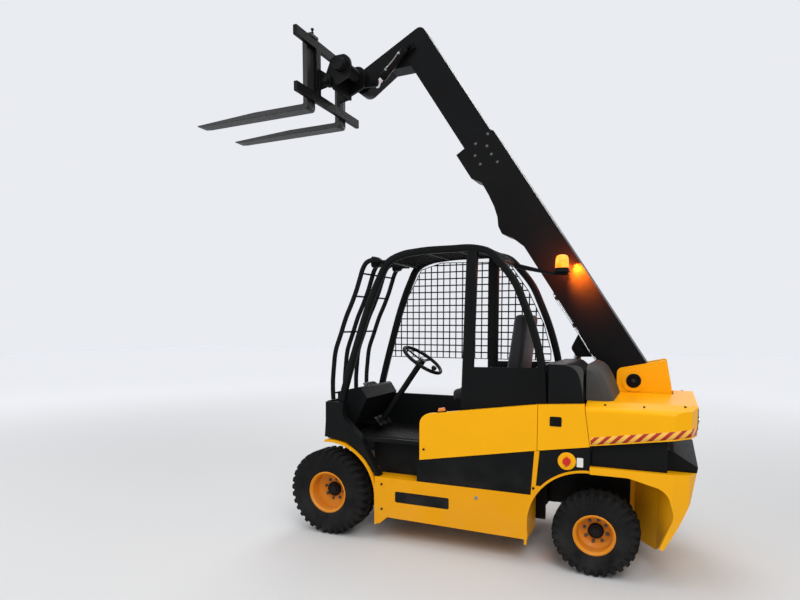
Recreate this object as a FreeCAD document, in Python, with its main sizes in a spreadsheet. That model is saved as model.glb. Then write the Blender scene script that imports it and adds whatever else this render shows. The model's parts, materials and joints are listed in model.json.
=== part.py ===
"""Compact telescopic-boom handler: a small carrier with its cab on the left and one boom on the right.

Frame of the model: +X forward, +Y to the operator's left, +Z up, ground at Z 0.
Places along the body are written from the front axle for a wheelbase of 2050, and stretch with it.
Places that hang on a wheel, a pin or the boom keep their distance from it instead.
The boom, its inner section and the cylinders are drawn in frames of their own, whose X runs along the piece.
"""
import FreeCAD, Part
import os
import re
import Sketcher

# Driving dimensions in millimetres and degrees: alias, value, what it is
SIZES = [
    ("front_axle_x", 557, "place of the front axle in the frame"),
    ("wheelbase", 2050, "front axle to steered rear axle"),
    # Tyres and rims
    ("front_tyre_radius", 343, "27 inch tyre over its lugs"),
    ("front_tyre_width", 254, "10 inch section"),
    ("front_rim_radius", 167, "12 inch rim over its flange"),
    ("front_wheel_y", 536, "centre of the tread"),
    ("rear_tyre_radius", 285, "23 inch tyre over its lugs"),
    ("rear_tyre_width", 229, "9 inch section"),
    ("rear_rim_radius", 139, "10 inch rim over its flange"),
    ("rear_wheel_y", 514, "centre of the tread"),
    ("rim_wall", 9, "steel of the rims"),
    ("lug_depth", 14, "tread lug over the casing"),
    ("hub_radius", 62, "hub end that carries the disc"),
    ("seat_gap", 0.3, "running gap of fits that turn or slide"),
    # Body
    ("body_half", 610, "half width over the side plates"),
    ("panel_wall", 40, "side panel with its returns"),
    ("rail_top", 508, "top of the side rail"),
    ("rail_base", 192, "underside of the side rail"),
    ("rail_inner_y", 310, "inner side of the side rail"),
    ("lip_wall", 16, "wheel arch lip"),
    ("fender_radius", 404, "front arch over the front axle"),
    ("fender_foot", 128, "lowest point of the front arch"),
    ("fender_depth", 205, "front arch across the machine"),
    ("rear_arch_x", -2000, "centre of the rear arch"),
    ("rear_arch_z", 300, "centre of the rear arch"),
    ("rear_arch_radius", 402, "rear arch, inner side"),
    ("rear_arch_foot", 148, "lowest point of the rear arch"),
    ("post_front_x", -1622, "yellow post ahead of the rear arch"),
    ("post_width", 34, "width of that post"),
    ("doorway_rear_x", -786, "rear edge of the doorway"),
    ("seam_one_x", -1660, "seam between the side panels"),
    ("seam_two_x", -1990, "seam between side panel and hood"),
    ("seam", 4, "open width of a panel seam"),
    ("band_low_front", 677, "yellow band, lower edge at the doorway"),
    ("band_low_rear", 826, "yellow band, lower edge at the first seam"),
    ("band_top_front", 1022, "yellow band, top at the doorway"),
    ("band_top_rear", 1144, "yellow band, top at the first seam"),
    ("hood_base", 896, "lower edge of the rear hood"),
    ("right_band_top", 930, "yellow band on the boom's side, below the lowered boom"),
    # Counterweight and rear
    ("tail_x", -2665, "rearmost face"),
    ("weight_top", 745, "top of the counterweight"),
    ("weight_foot", 245, "lower end of the counterweight"),
    ("weight_core_half", 160, "half width between the steered wheels"),
    ("weight_low", 165, "underside of the counterweight's middle"),
    ("arch_roof_z", 697, "roof of the rear arch"),
    ("hood_shoulder_z", 1140, "crease of the hood"),
    ("hood_top_z", 1172, "flat top of the hood"),
    ("hood_slope_run", 140, "width of the slope between the flat top and the side plate"),
    # Boom
    ("boom_angle", 57, "boom over the ground as photographed"),
    ("pivot_x", -2227, "boom pivot from the front axle"),
    ("pivot_z", 1262, "boom pivot over the ground"),
    ("boom_y", -330, "middle of the boom, on the right"),
    ("boom_width", 220, "outer section across"),
    ("boom_over", 145, "outer section over the pivot line"),
    ("boom_under", 150, "outer section under the pivot line"),
    ("boom_wall", 10, "plate of the outer section"),
    ("boom_tail", 125, "outer section behind the pivot"),
    ("boom_head", 2345, "pivot to the head's end"),
    ("head_under", 212, "depth of the head plates under the pivot line"),
    ("bracket_gap", 8, "bracket plate to boom"),
    ("bracket_wall", 30, "bracket plate"),
    ("pivot_pin_radius", 45, "boom pivot pin"),
    ("pivot_boss_radius", 84, "ring round the pin"),
    ("pad_gap", 10, "height of the slide pads between the sections"),
    ("inner_wall", 8, "plate of the inner section"),
    ("boom_out", 700, "inner section drawn out as stored"),
    ("inner_tail", 560, "inner section's rear end with the boom closed"),
    ("nose_u", 2760, "carriage pin along the closed boom"),
    ("nose_v", -560, "carriage pin under the pivot line"),
    ("nose_width", 160, "drop leg across"),
    ("nose_tube_radius", 55, "cross tube at the foot of the leg"),
    ("nose_tube_left", 215, "left end of the cross tube"),
    # Lift cylinder
    ("lift_lug_u", 420, "rod pin along the boom"),
    ("lift_lug_v", -235, "rod pin under the pivot line"),
    ("lift_base_x", -1560, "barrel pin from the front axle"),
    ("lift_base_z", 300, "barrel pin over the ground"),
    ("lift_barrel_radius", 58, "lift barrel"),
    ("lift_bore_radius", 46, "bore of the lift barrel"),
    ("lift_rod_radius", 32, "lift rod"),
    ("lift_barrel_end", 655, "barrel's open end from its pin"),
    ("lift_rod_length", 650, "rod from its piston to its pin"),
    ("lift_pin_radius", 20, "pins of the lift cylinder"),
    ("eye_width", 68, "eyes of the cylinders"),
    # Levelling cylinder
    ("level_base_u", 3390, "barrel pin along the boom as stored"),
    ("level_base_v", -60, "barrel pin under the pivot line"),
    ("level_y", -205, "levelling cylinder across the machine"),
    ("lever_back", 160, "lever pin behind the carriage pin"),
    ("lever_down", 58, "lever pin under the carriage pin"),
    ("level_barrel_radius", 34, "levelling barrel"),
    ("level_bore_radius", 26, "bore of the levelling barrel"),
    ("level_rod_radius", 18, "levelling rod"),
    ("level_barrel_end", 330, "barrel's open end from its pin"),
    ("level_rod_length", 315, "rod from its piston to its pin"),
    ("level_pin_radius", 14, "pins of the levelling cylinder"),
    ("level_eye_width", 34, "eyes of the levelling cylinder"),
    # Carriage and forks
    ("tilt_pin_ahead", 120, "tilt pin ahead of the carriage pin"),
    ("tilt_pin_down", 120, "tilt pin under the carriage pin"),
    ("tilt_pin_radius", 22, "tilt pin"),
    ("frame_half", 150, "half width of the tilt frame"),
    ("ear_wall", 30, "ears of the tilt frame"),
    ("carriage_back", 190, "rear face of the carriage bars ahead of the carriage pin"),
    ("carriage_bar", 34, "thickness of the carriage bars"),
    ("carriage_half", 520, "half width of the carriage"),
    ("carriage_top", 210, "top of the upper bar over the carriage pin"),
    ("carriage_height", 508, "class 3 carriage, over both bars"),
    ("bar_depth", 76, "height of a carriage bar"),
    ("fork_length", 1150, "blade from its heel face"),
    ("fork_width", 120, "blade across"),
    ("fork_wall", 44, "blade and shank thickness"),
    ("fork_spread", 260, "middle of each fork from the machine's middle"),
    ("fork_drop", 372, "underside of the blades below the carriage pin"),
    # Cab
    ("cab_right_y", -186, "outer face of the cab on the boom's side"),
    ("cab_inset", 45, "side plate to the cab's outer face at the belt"),
    ("cab_lean", 5.4, "lean of the left side frame"),
    ("cab_belt_z", 1075, "belt, where the side frames stand"),
    ("cab_tube", 50, "pillars and roof rails across"),
    ("roof_z", 2282, "top of the cab"),
    ("floor_z", 800, "cab floor"),
    ("floor_wall", 30, "floor plate"),
    ("pillar_b_x", -1130, "middle of the B pillar"),
    ("pillar_b_width", 84, "B pillar along the machine"),
    ("guard_bar", 20, "bars of the front guard"),
    ("guard_count", 4, "bars of the front guard"),
    ("roof_bar", 26, "bars of the open roof"),
    ("mesh_wire", 7, "wires of the side mesh"),
    # Seat and controls
    ("seat_top_z", 1215, "top of the seat cushion"),
    ("seat_front_x", -960, "front of the seat cushion"),
    ("seat_width", 470, "seat across"),
    ("steering_x", -640, "steering wheel's middle"),
    ("steering_z", 1400, "steering wheel's middle"),
    ("steering_radius", 175, "steering wheel"),
    ("steering_rake", 35, "steering wheel from level"),
    # Covers, axles and beacon
    ("cover_top_z", 1420, "black cover behind the cab"),
    ("axle_tube_radius", 70, "front axle tube"),
    ("kingpin_y", 400, "kingpin from the middle"),
    ("beacon_x", -1702, "beacon"),
    ("beacon_y", 0, "beacon across the machine"),
    ("beacon_z", 2086, "foot of the beacon"),
    ("beacon_radius", 62, "beacon lens"),
]

doc = FreeCAD.newDocument("telehandler")
dims = doc.addObject("Spreadsheet::Sheet", "dims")
for row, (alias, number, meaning) in enumerate(SIZES, start=1):
    dims.set(f"A{row}", meaning)
    dims.set(f"B{row}", str(number))
    dims.setAlias(f"B{row}", alias)
doc.recompute()
ALIASES = {alias for alias, number, meaning in SIZES}
NODES = []


def bound(text):
    """Turn a formula in plain size names into one that reads the sheet."""
    return re.sub(r"[a-z_]+", lambda word: "dims." + word.group() if word.group() in ALIASES else word.group(),
                  str(text))


def along(text):
    """A place along the body, from the front axle at a wheelbase of 2050, as a place in the frame."""
    return f"front_axle_x + ({text}) * wheelbase / 2050"


def fixed(text):
    """A place at a fixed distance ahead of the front axle, as a place in the frame."""
    return f"front_axle_x + ({text})"


def tie(item, name, text):
    """Bind one property to a formula of sizes."""
    item.setExpression(name, bound(text))


def place(item, x="0", y="0", z="0", pitch=None):
    """Put an object at x, y, z. Pitch lifts its own X axis over the ground, in degrees."""
    if pitch is not None:
        item.Placement = FreeCAD.Placement(FreeCAD.Vector(), FreeCAD.Rotation(FreeCAD.Vector(0, -1, 0), 1))
        tie(item, "Placement.Rotation.Angle", pitch)
    tie(item, "Placement.Base.x", x)
    tie(item, "Placement.Base.y", y)
    tie(item, "Placement.Base.z", z)
    return item


def block(name, x, y, z):
    """A box between two places on each axis, each given as a pair of formulas, low first."""
    item = doc.addObject("Part::Box", name)
    tie(item, "Length", f"({x[1]}) - ({x[0]})")
    tie(item, "Width", f"({y[1]}) - ({y[0]})")
    tie(item, "Height", f"({z[1]}) - ({z[0]})")
    return place(item, x[0], y[0], z[0])


TURNS = {"x": (FreeCAD.Vector(0, 1, 0), 90), "y": (FreeCAD.Vector(1, 0, 0), -90),
        "z": (FreeCAD.Vector(0, 0, 1), 0)}


def rod(name, axis, radius, span, x="0", y="0", z="0"):
    """A round bar along one axis, between two places on it; the other two places are its middle."""
    item = doc.addObject("Part::Cylinder", name)
    tie(item, "Radius", radius)
    tie(item, "Height", f"({span[1]}) - ({span[0]})")
    item.Placement = FreeCAD.Placement(FreeCAD.Vector(), FreeCAD.Rotation(*TURNS[axis]))
    middle = {"x": x, "y": y, "z": z}
    middle[axis] = span[0]
    tie(item, "Placement.Base.x", middle["x"])
    tie(item, "Placement.Base.y", middle["y"])
    tie(item, "Placement.Base.z", middle["z"])
    return item


PLANES = {"side": "XZ_Plane", "front": "YZ_Plane", "top": "XY_Plane"}


def outline_sketch(body, name, plane, outline):
    """A closed outline of straight runs on one of the body's own planes, its corners bound to formulas."""
    sketch = body.newObject("Sketcher::SketchObject", name)
    home = [item for item in body.Origin.OriginFeatures if item.Role == PLANES[plane]][0]
    sketch.AttachmentSupport = (home, "")
    sketch.MapMode = "FlatFace"
    count = len(outline)
    start = [FreeCAD.Vector(100, 0, 0)]
    turn = FreeCAD.Rotation(FreeCAD.Vector(0, 0, 1), 360.0 / count)
    for corner in range(1, count):
        start.append(turn.multVec(start[-1]))
    for corner in range(count):
        sketch.addGeometry(Part.LineSegment(start[corner], start[(corner + 1) % count]), False)
    for corner in range(count):
        sketch.addConstraint(Sketcher.Constraint("Coincident", corner, 2, (corner + 1) % count, 1))
    for corner, point in enumerate(outline):
        for kind, text, now in (("DistanceX", point[0], start[corner].x),
                ("DistanceY", point[1], start[corner].y)):
            index = sketch.addConstraint(Sketcher.Constraint(kind, -1, 1, corner, 1, now))
            sketch.setExpression(f"Constraints[{index}]", bound(text))
    return sketch


def prism(name, plane, outline, span):
    """A plate: an outline padded between two places across its plane; a corner's third item rounds it."""
    body = doc.addObject("PartDesign::Body", name)
    sketch = outline_sketch(body, name + "_outline", plane, outline)
    offset = f"-({span[1]})" if plane == "side" else span[0]
    sketch.setExpression(".AttachmentOffset.Base.z", bound(offset))
    pad = body.newObject("PartDesign::Pad", name + "_pad")
    pad.Profile = sketch
    tie(pad, "Length", f"({span[1]}) - ({span[0]})")
    doc.recompute()
    tip = pad
    for radius in dict.fromkeys(point[2] for point in outline if len(point) > 2):
        corners = [sketch.Placement.multVec(sketch.getPoint(index, 1))
                   for index, point in enumerate(outline) if len(point) > 2 and point[2] == radius]
        normal = sketch.Placement.Rotation.multVec(FreeCAD.Vector(0, 0, 1))
        names = []
        for number, edge in enumerate(tip.Shape.Edges, start=1):
            run = edge.Vertexes[-1].Point - edge.Vertexes[0].Point
            if run.Length < 0.1 or run.cross(normal).Length > 0.001 * run.Length:
                continue
            flat = [(edge.Vertexes[0].Point - corner).cross(normal).Length for corner in corners]
            if min(flat) < 0.05:
                names.append(f"Edge{number}")
        rounding = body.newObject("PartDesign::Fillet", f"{name}_round")
        rounding.Base = (tip, names)
        tie(rounding, "Radius", radius)
        doc.recompute()
        tip = rounding
    body.Tip = tip
    return body


def turned(name, outline):
    """A turned piece: an outline of radius and place along the axle, revolved about the Y axis."""
    body = doc.addObject("PartDesign::Body", name)
    sketch = outline_sketch(body, name + "_outline", "top", outline)
    revolution = body.newObject("PartDesign::Revolution", name + "_turn")
    revolution.Profile = sketch
    revolution.ReferenceAxis = (sketch, ["V_Axis"])
    revolution.Angle = 360
    body.Tip = revolution
    return body


def fuse(name, *items):
    """Pieces welded into one solid."""
    result = doc.addObject("Part::MultiFuse", name)
    result.Shapes = list(items)
    return result


def cut(name, base, *tools):
    """A piece with the room of others taken out."""
    tool = tools[0]
    if len(tools) > 1:
        tool = fuse(name + "_room", *tools)
    result = doc.addObject("Part::Cut", name)
    result.Base = base
    result.Tool = tool
    return result


def together(name, *items):
    """Like pieces that don't touch, kept as one node."""
    result = doc.addObject("Part::Compound", name)
    result.Links = list(items)
    return result


def node(item, label):
    """Mark an object as a sub-part of the machine under its own name."""
    item.Label = label
    NODES.append(item)
    return item


# Sides of the machine: name and sign across
SIDES = [("left", 1), ("right", -1)]


def across(sign, near, far):
    """The span between two distances from the middle, on the side that the sign gives, low first."""
    return (near, far) if sign > 0 else (f"-({far})", f"-({near})")


def build_wheel(name, radius, width, rim_radius, x, y, sign, hub_plane):
    """A tyre on a deep dished steel rim whose disc seats on the hub's end."""
    bead = f"{rim_radius} - 12"
    tyre = turned(name + "_tyre_body", [
        (bead, f"-{width} * 0.40"), (f"{rim_radius} + 20", f"-{width} * 0.46"),
        (f"({rim_radius} + {radius}) / 2", f"-{width} / 2"), (f"{radius} - 38", f"-{width} * 0.49"),
        (f"{radius} - 10", f"-{width} * 0.44"), (radius, f"-{width} * 0.36"),
        (radius, f"{width} * 0.36"), (f"{radius} - 10", f"{width} * 0.44"),
        (f"{radius} - 38", f"{width} * 0.49"), (f"({rim_radius} + {radius}) / 2", f"{width} / 2"),
        (f"{rim_radius} + 20", f"{width} * 0.46"), (bead, f"{width} * 0.40")])
    drop = f"{rim_radius} - 12 - seat_gap / 3"
    shell = f"{rim_radius} - 12 - rim_wall"
    rim = turned(name + "_rim_body", [
        (drop, f"-{width} * 0.40"), (drop, f"{width} * 0.40"),
        (f"{rim_radius} - 2", f"{width} * 0.40 + 6"), (rim_radius, f"{width} * 0.40 + 8"),
        (f"{rim_radius} - 8", f"{width} * 0.40 + 12"), (shell, f"{width} * 0.40 - 4"),
        (shell, f"-({hub_plane}) + 30"), (f"hub_radius + 28", f"-({hub_plane}) + rim_wall + 4"),
        ("20", f"-({hub_plane}) + rim_wall + 4"), ("20", f"-({hub_plane})"),
        (f"hub_radius + 30", f"-({hub_plane})"), (shell, f"-({hub_plane}) - 6"),
        (shell, f"-{width} * 0.40")])
    for body, label in ((tyre, name + "_tyre"), (rim, name + "_rim")):
        place(body, fixed(x), f"{sign} * {y}", radius)
        if sign < 0:
            body.Placement = FreeCAD.Placement(body.Placement.Base,
                    FreeCAD.Rotation(FreeCAD.Vector(0, 0, 1), 180))
        node(body, label)


def build_wheels():
    """Two driven front wheels and two smaller steered rear wheels."""
    for side, sign in SIDES:
        build_wheel("front_" + side, "front_tyre_radius", "front_tyre_width", "front_rim_radius",
                    "0", "front_wheel_y", sign, "30")
        build_wheel("rear_" + side, "rear_tyre_radius", "rear_tyre_width", "rear_rim_radius",
                    "-wheelbase", "rear_wheel_y", sign, "30")


def build_axles():
    """The fixed front axle with its drive housing, and the steered rear axle's beam and knuckles."""
    hub_end = "front_wheel_y - 30 - seat_gap"
    tube = rod("axle_tube", "y", "axle_tube_radius", ("-(front_wheel_y - 90)", "front_wheel_y - 90"),
               along("0"), z="front_tyre_radius")
    housing = rod("drive_housing", "y", "128", ("-110", "110"), along("0"), z="front_tyre_radius")
    hubs = rod("hub_ends", "y", "hub_radius", (f"-({hub_end})", hub_end), along("0"), z="front_tyre_radius")
    drums = []
    for side, sign in SIDES:
        drums.append(rod("brake_" + side, "y", "112", across(sign, "front_wheel_y - 165",
                         "front_wheel_y - 75"),
                         along("0"), z="front_tyre_radius"))
    node(fuse("front_axle", tube, housing, hubs, *drums), "front_axle")

    beam = block("steer_beam", (fixed("-wheelbase - 55"), fixed("-wheelbase + 55")),
                 ("-(kingpin_y - 45)", "kingpin_y - 45"), ("rear_tyre_radius - 45", "rear_tyre_radius + 45"))
    trunnion = rod("trunnion", "x", "48", (fixed("-wheelbase - 130"), fixed("-wheelbase + 130")),
                   z="rear_tyre_radius")
    yokes = []
    for side, sign in SIDES:
        for level, low, high in (("lower", "-78", "-54"), ("upper", "54", "78")):
            yokes.append(block(f"yoke_{level}_{side}", (fixed("-wheelbase - 50"), fixed("-wheelbase + 50")),
                               across(sign, "kingpin_y - 80", "kingpin_y + 40"),
                               (f"rear_tyre_radius + ({low})", f"rear_tyre_radius + ({high})")))
        yokes.append(block("yoke_web_" + side, (fixed("-wheelbase - 50"), fixed("-wheelbase + 50")),
                           across(sign, "kingpin_y - 80", "kingpin_y - 45"),
                           ("rear_tyre_radius - 78", "rear_tyre_radius + 78")))
    node(fuse("rear_axle", beam, trunnion, *yokes), "rear_axle")

    for side, sign in SIDES:
        pin = rod("kingpin_" + side, "z", "38", ("rear_tyre_radius - 53.7", "rear_tyre_radius + 53.7"),
                  fixed("-wheelbase"), f"{sign} * kingpin_y")
        stub = rod("stub_" + side, "y", "hub_radius - 12",
                   across(sign, "kingpin_y", "rear_wheel_y - 30 - seat_gap"), fixed("-wheelbase"),
                   z="rear_tyre_radius")
        node(fuse("knuckle_" + side, pin, stub), "knuckle_" + side)


# The side rail ends where the rear arch begins
RAIL_TAIL = along("rear_arch_x") + " + rear_arch_radius - 2"


def build_side_rails():
    """On each side one welded rail: front arch lip, rail, tank side, rear arch lip and the post over it."""
    for side, sign in SIDES:
        lip = across(sign, "body_half - fender_depth", "body_half")
        outer = rod("fender_outer_" + side, "y", "fender_radius + lip_wall", lip, along("0"),
                z="front_tyre_radius")
        inner = rod("fender_inner_" + side, "y", "fender_radius", across(sign, "0", "body_half + 50"),
                    along("0"), z="front_tyre_radius")
        quarter = block("fender_quarter_" + side, (along("-700"), along("45")),
                        across(sign, "0", "body_half + 20"),
                        ("front_tyre_radius", "front_tyre_radius + 700"))
        ring = cut("fender_ring_" + side, outer, inner)
        arch = doc.addObject("Part::Common", "fender_arch_" + side)
        arch.Base = ring
        arch.Tool = quarter
        drop = block("fender_drop_" + side, (fixed("-(fender_radius + lip_wall)"), fixed("-fender_radius")),
                     lip,
                     ("fender_foot", "front_tyre_radius + 5"))
        rail = prism("rail_plate_" + side, "side", [
            (fixed("-fender_radius - 6"), "rail_top"), (fixed("-fender_radius - 6"), "fender_foot + 8"),
            (fixed("-fender_radius - 45"), "fender_foot + 12"),
            (fixed("-fender_radius - 110"), "rail_base + 6"),
            (RAIL_TAIL, "rail_base - 6"), (RAIL_TAIL, "rail_top")],
            across(sign, "rail_inner_y", "body_half"))
        rail_cut = rod("rail_room_" + side, "y", "fender_radius + 1", across(sign, "0", "body_half + 50"),
                       along("0"), z="front_tyre_radius")
        trimmed = cut("rail_trim_" + side, rail, rail_cut)
        rear_outer = rod("rear_arch_outer_" + side, "y", "rear_arch_radius + lip_wall",
                         across(sign, "body_half - 36", "body_half"), along("rear_arch_x"), z="rear_arch_z")
        rear_room = rod("rear_arch_room_" + side, "y", "rear_arch_radius",
                        across(sign, "0", "body_half + 50"),
                        along("rear_arch_x"), z="rear_arch_z")
        rear_ring = cut("rear_ring_" + side, rear_outer, rear_room)
        rear_quarter = block("rear_quarter_" + side, (along("rear_arch_x") + " - 8",
                             along("rear_arch_x") + " + 700"),
                             across(sign, "0", "body_half + 20"), ("rear_arch_z", "rear_arch_z + 700"))
        rear_arch = doc.addObject("Part::Common", "rear_lip_" + side)
        rear_arch.Base = rear_ring
        rear_arch.Tool = rear_quarter
        foot = block("rear_foot_" + side,
                     (along("rear_arch_x") + " + rear_arch_radius",
                     along("rear_arch_x") + " + rear_arch_radius + lip_wall"),
                     across(sign, "body_half - 36", "body_half"), ("rear_arch_foot", "rear_arch_z + 2"))
        corner = prism("rear_corner_" + side, "side", [
            (RAIL_TAIL + " + 4", "rail_top"), (RAIL_TAIL + " + 4", "rear_arch_z - 110"),
            (RAIL_TAIL + " - 4", "rear_arch_z - 110"), (RAIL_TAIL + " - 4", "rear_arch_z"),
            (along("post_front_x - 90"), "rail_top + 70"), (along("post_front_x - post_width"),
            "rail_top + 70"),
            (along("seam_one_x - post_width / 2"), "band_low_rear - 3 - seat_gap"),
            (along("seam_one_x + post_width / 2"), "band_low_rear - 3 - seat_gap"),
            (along("post_front_x"), "rail_top")], across(sign, "body_half - 36", "body_half"))
        corner_cut = cut("rear_corner_trim_" + side, corner, rear_room)
        rail_weld = fuse("rail_weld_" + side, arch, drop, trimmed, rear_arch, foot, corner_cut)
        well = block("lift_well_" + side, (along("lift_base_x - 130"), along("lift_base_x + 75")),
                     ("boom_y - 105", "boom_y + 45"), ("0", "1200"))
        node(cut("side_rail_" + side, rail_weld, well), "side_rail_" + side)


def build_side_panels():
    """The rising yellow band and the black panels under it, up to the cab on the left, low on the right."""
    skin = ("body_half - panel_wall", "body_half")
    rise = "band_low_rear - seat_gap - (post_width / 2 + 2 - seam / 2) * (band_low_rear - band_low_front)"
    front = prism("panel_front_left", "side", [
        (along("doorway_rear_x"), "band_low_front"), (along("seam_one_x + seam / 2"), "band_low_rear"),
        (along("seam_one_x + seam / 2"), "band_top_rear"),
        (along("doorway_rear_x"), "band_top_front", "88")], skin)
    rear = prism("panel_rear_left", "side", [
        (along("seam_one_x - seam / 2"), "band_low_rear"), (along("seam_two_x - 20 + seam"),
        "hood_base - 16"),
        (along("seam_two_x + 22 + seam"), "band_top_rear + 20"),
        (along("seam_one_x - seam / 2"), "band_top_rear")], skin)
    node(together("band_left", front, rear), "band_left")
    low = ("body_half - panel_wall - 8", "body_half - 8")
    lower = {}
    lower["left"] = prism("panel_lower_left", "side", [
        (along("doorway_rear_x + 24"), "rail_top + seat_gap"),
        (along("post_front_x + 2"), "rail_top + seat_gap"),
        (along("seam_one_x + post_width / 2 + 2"), f"{rise} / (doorway_rear_x - seam_one_x - seam / 2)"),
        (along("doorway_rear_x"), "band_low_front - seat_gap"),
        (along("doorway_rear_x + 24"), "band_low_front - seat_gap")],
        low)
    lower["right"] = prism("panel_lower_right", "side", [
        (fixed("-430"), "rail_top + seat_gap"), (along("post_front_x + 2"), "rail_top + seat_gap"),
        (along("seam_one_x + post_width / 2 + 2"), f"{rise} / (-430 - seam_one_x - seam / 2)"),
        (fixed("-430"), "band_low_front - seat_gap")], across(-1, *low))
    for side, sign in SIDES:
        plate = prism("isolator_plate_" + side, "side", [
            (along("seam_one_x - post_width / 2 - 2"), "band_low_rear - seat_gap"),
            (along("post_front_x - post_width - 2"), "rail_top + 70 + seat_gap"),
            (along("post_front_x - 300"), "rail_top + 70 + seat_gap"),
            (along("seam_two_x - 20"), "arch_roof_z + 22"), (along("seam_two_x - 20"),
            "hood_base - 16 - seat_gap")],
            across(sign, *low))
        room = rod("isolator_room_" + side, "y", "rear_arch_radius + lip_wall + seat_gap",
                   across(sign, "0", "body_half + 50"), along("rear_arch_x"), z="rear_arch_z")
        isolator = cut("isolator_panel_" + side, plate, room)
        node(together("lower_panels_" + side, lower[side], isolator), "lower_panels_" + side)
    front = prism("panel_upper_right", "side", [
        (fixed("-430"), "band_low_front"), (along("seam_one_x + seam / 2"), "band_low_rear"),
        (along("seam_one_x + seam / 2"), "right_band_top + 40"),
        (fixed("-430"), "right_band_top - 60", "60")],
        across(-1, *skin))
    rear = prism("panel_rear_right", "side", [
        (along("seam_one_x - seam / 2"), "band_low_rear"), (along("seam_two_x - 20 + seam"),
        "hood_base - 16"),
        (along("seam_two_x + seam"), "right_band_top + 56"),
        (along("seam_one_x - seam / 2"), "right_band_top + 40")], across(-1, *skin))
    node(together("band_right", front, rear), "band_right")


def build_chassis():
    """Two frame plates from nose to tail with cross-members, and a spine between the steered wheels."""
    plates = []
    for side, sign in SIDES:
        plates.append(block("frame_plate_" + side, (along("rear_arch_x + 340"), along("150")),
                            across(sign, "225", "250"), ("230", "rail_top")))
        plates.append(block("spine_plate_" + side, (along("tail_x + 420"), along("rear_arch_x + 340")),
                            across(sign, "125", "150"), ("345", "arch_roof_z - 2")))
        plates.append(block("outrigger_" + side, (along("-900"), along("-860")),
                            across(sign, "249", "rail_inner_y - seat_gap"), ("260", "480")))
        plates.append(block("outrigger_rear_" + side, (along("-1500"), along("-1460")),
                            across(sign, "249", "rail_inner_y - seat_gap"), ("430", "480")))
    members = [
        ("front_plate", "132", "150", "-250", "250", "230", "rail_top"),
        ("front_cradle", "-95", "95", "-226", "226", "front_tyre_radius + 128 + seat_gap", "rail_top"),
        ("belly_plate", "-1500", "-350", "-226", "226", "230", "245"),
        ("step_member", "rear_arch_x + 330", "rear_arch_x + 360", "-250", "250", "345", "rail_top"),
        ("spine_roof", "tail_x + 420", "rear_arch_x + 340", "-150", "150", "arch_roof_z - 30",
        "arch_roof_z - 2"),
    ]
    bars = [block(name, (along(x0), along(x1)), (y0, y1), (z0, z1))
            for name, x0, x1, y0, y1, z0, z1 in members]
    for end, shift in (("front", "100"), ("rear", "-130")):
        hanger = block("trunnion_hanger_" + end, (fixed(f"-wheelbase + {shift}"),
                       fixed(f"-wheelbase + {shift} + 30")),
                       ("-126", "126"), ("rear_tyre_radius - 70", "400"))
        bore = rod("trunnion_bore_" + end, "x", "48 + seat_gap",
                   (fixed("-wheelbase - 200"), fixed("-wheelbase + 200")),
                   z="rear_tyre_radius")
        bars.append(cut("trunnion_plate_" + end, hanger, bore))
    for ear, low, high in (("inner", "boom_y + eye_width / 2 + 2", "-249"),
                           ("outer", "boom_y - eye_width / 2 - 60", "boom_y - eye_width / 2 - 2")):
        bars.append(block("lift_ear_" + ear, (along("lift_base_x - 45"), along("lift_base_x + 45")),
                          (low, high),
                          ("lift_base_z - 45", "lift_base_z + 30")))
    bars.append(block("lift_shelf", (along("lift_base_x - 60"), along("lift_base_x + 60")),
                      ("boom_y - eye_width / 2 - 60", "-249"), ("lift_base_z - 75", "lift_base_z - 44")))
    bars.append(rod("lift_base_pin", "y", "lift_pin_radius", ("boom_y - eye_width / 2 - 10", "-249"),
                    along("lift_base_x"), z="lift_base_z"))
    axle_room = rod("axle_room", "y", "axle_tube_radius + seat_gap", ("-300", "300"), along("0"),
            z="front_tyre_radius")
    node(cut("chassis_frame", fuse("chassis_weld", *plates, *bars), axle_room), "chassis_frame")
    node(block("engine_block", (along("-1480"), along("-930")), ("-205", "205"), ("245 + seat_gap", "760")),
            "engine_block")


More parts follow.
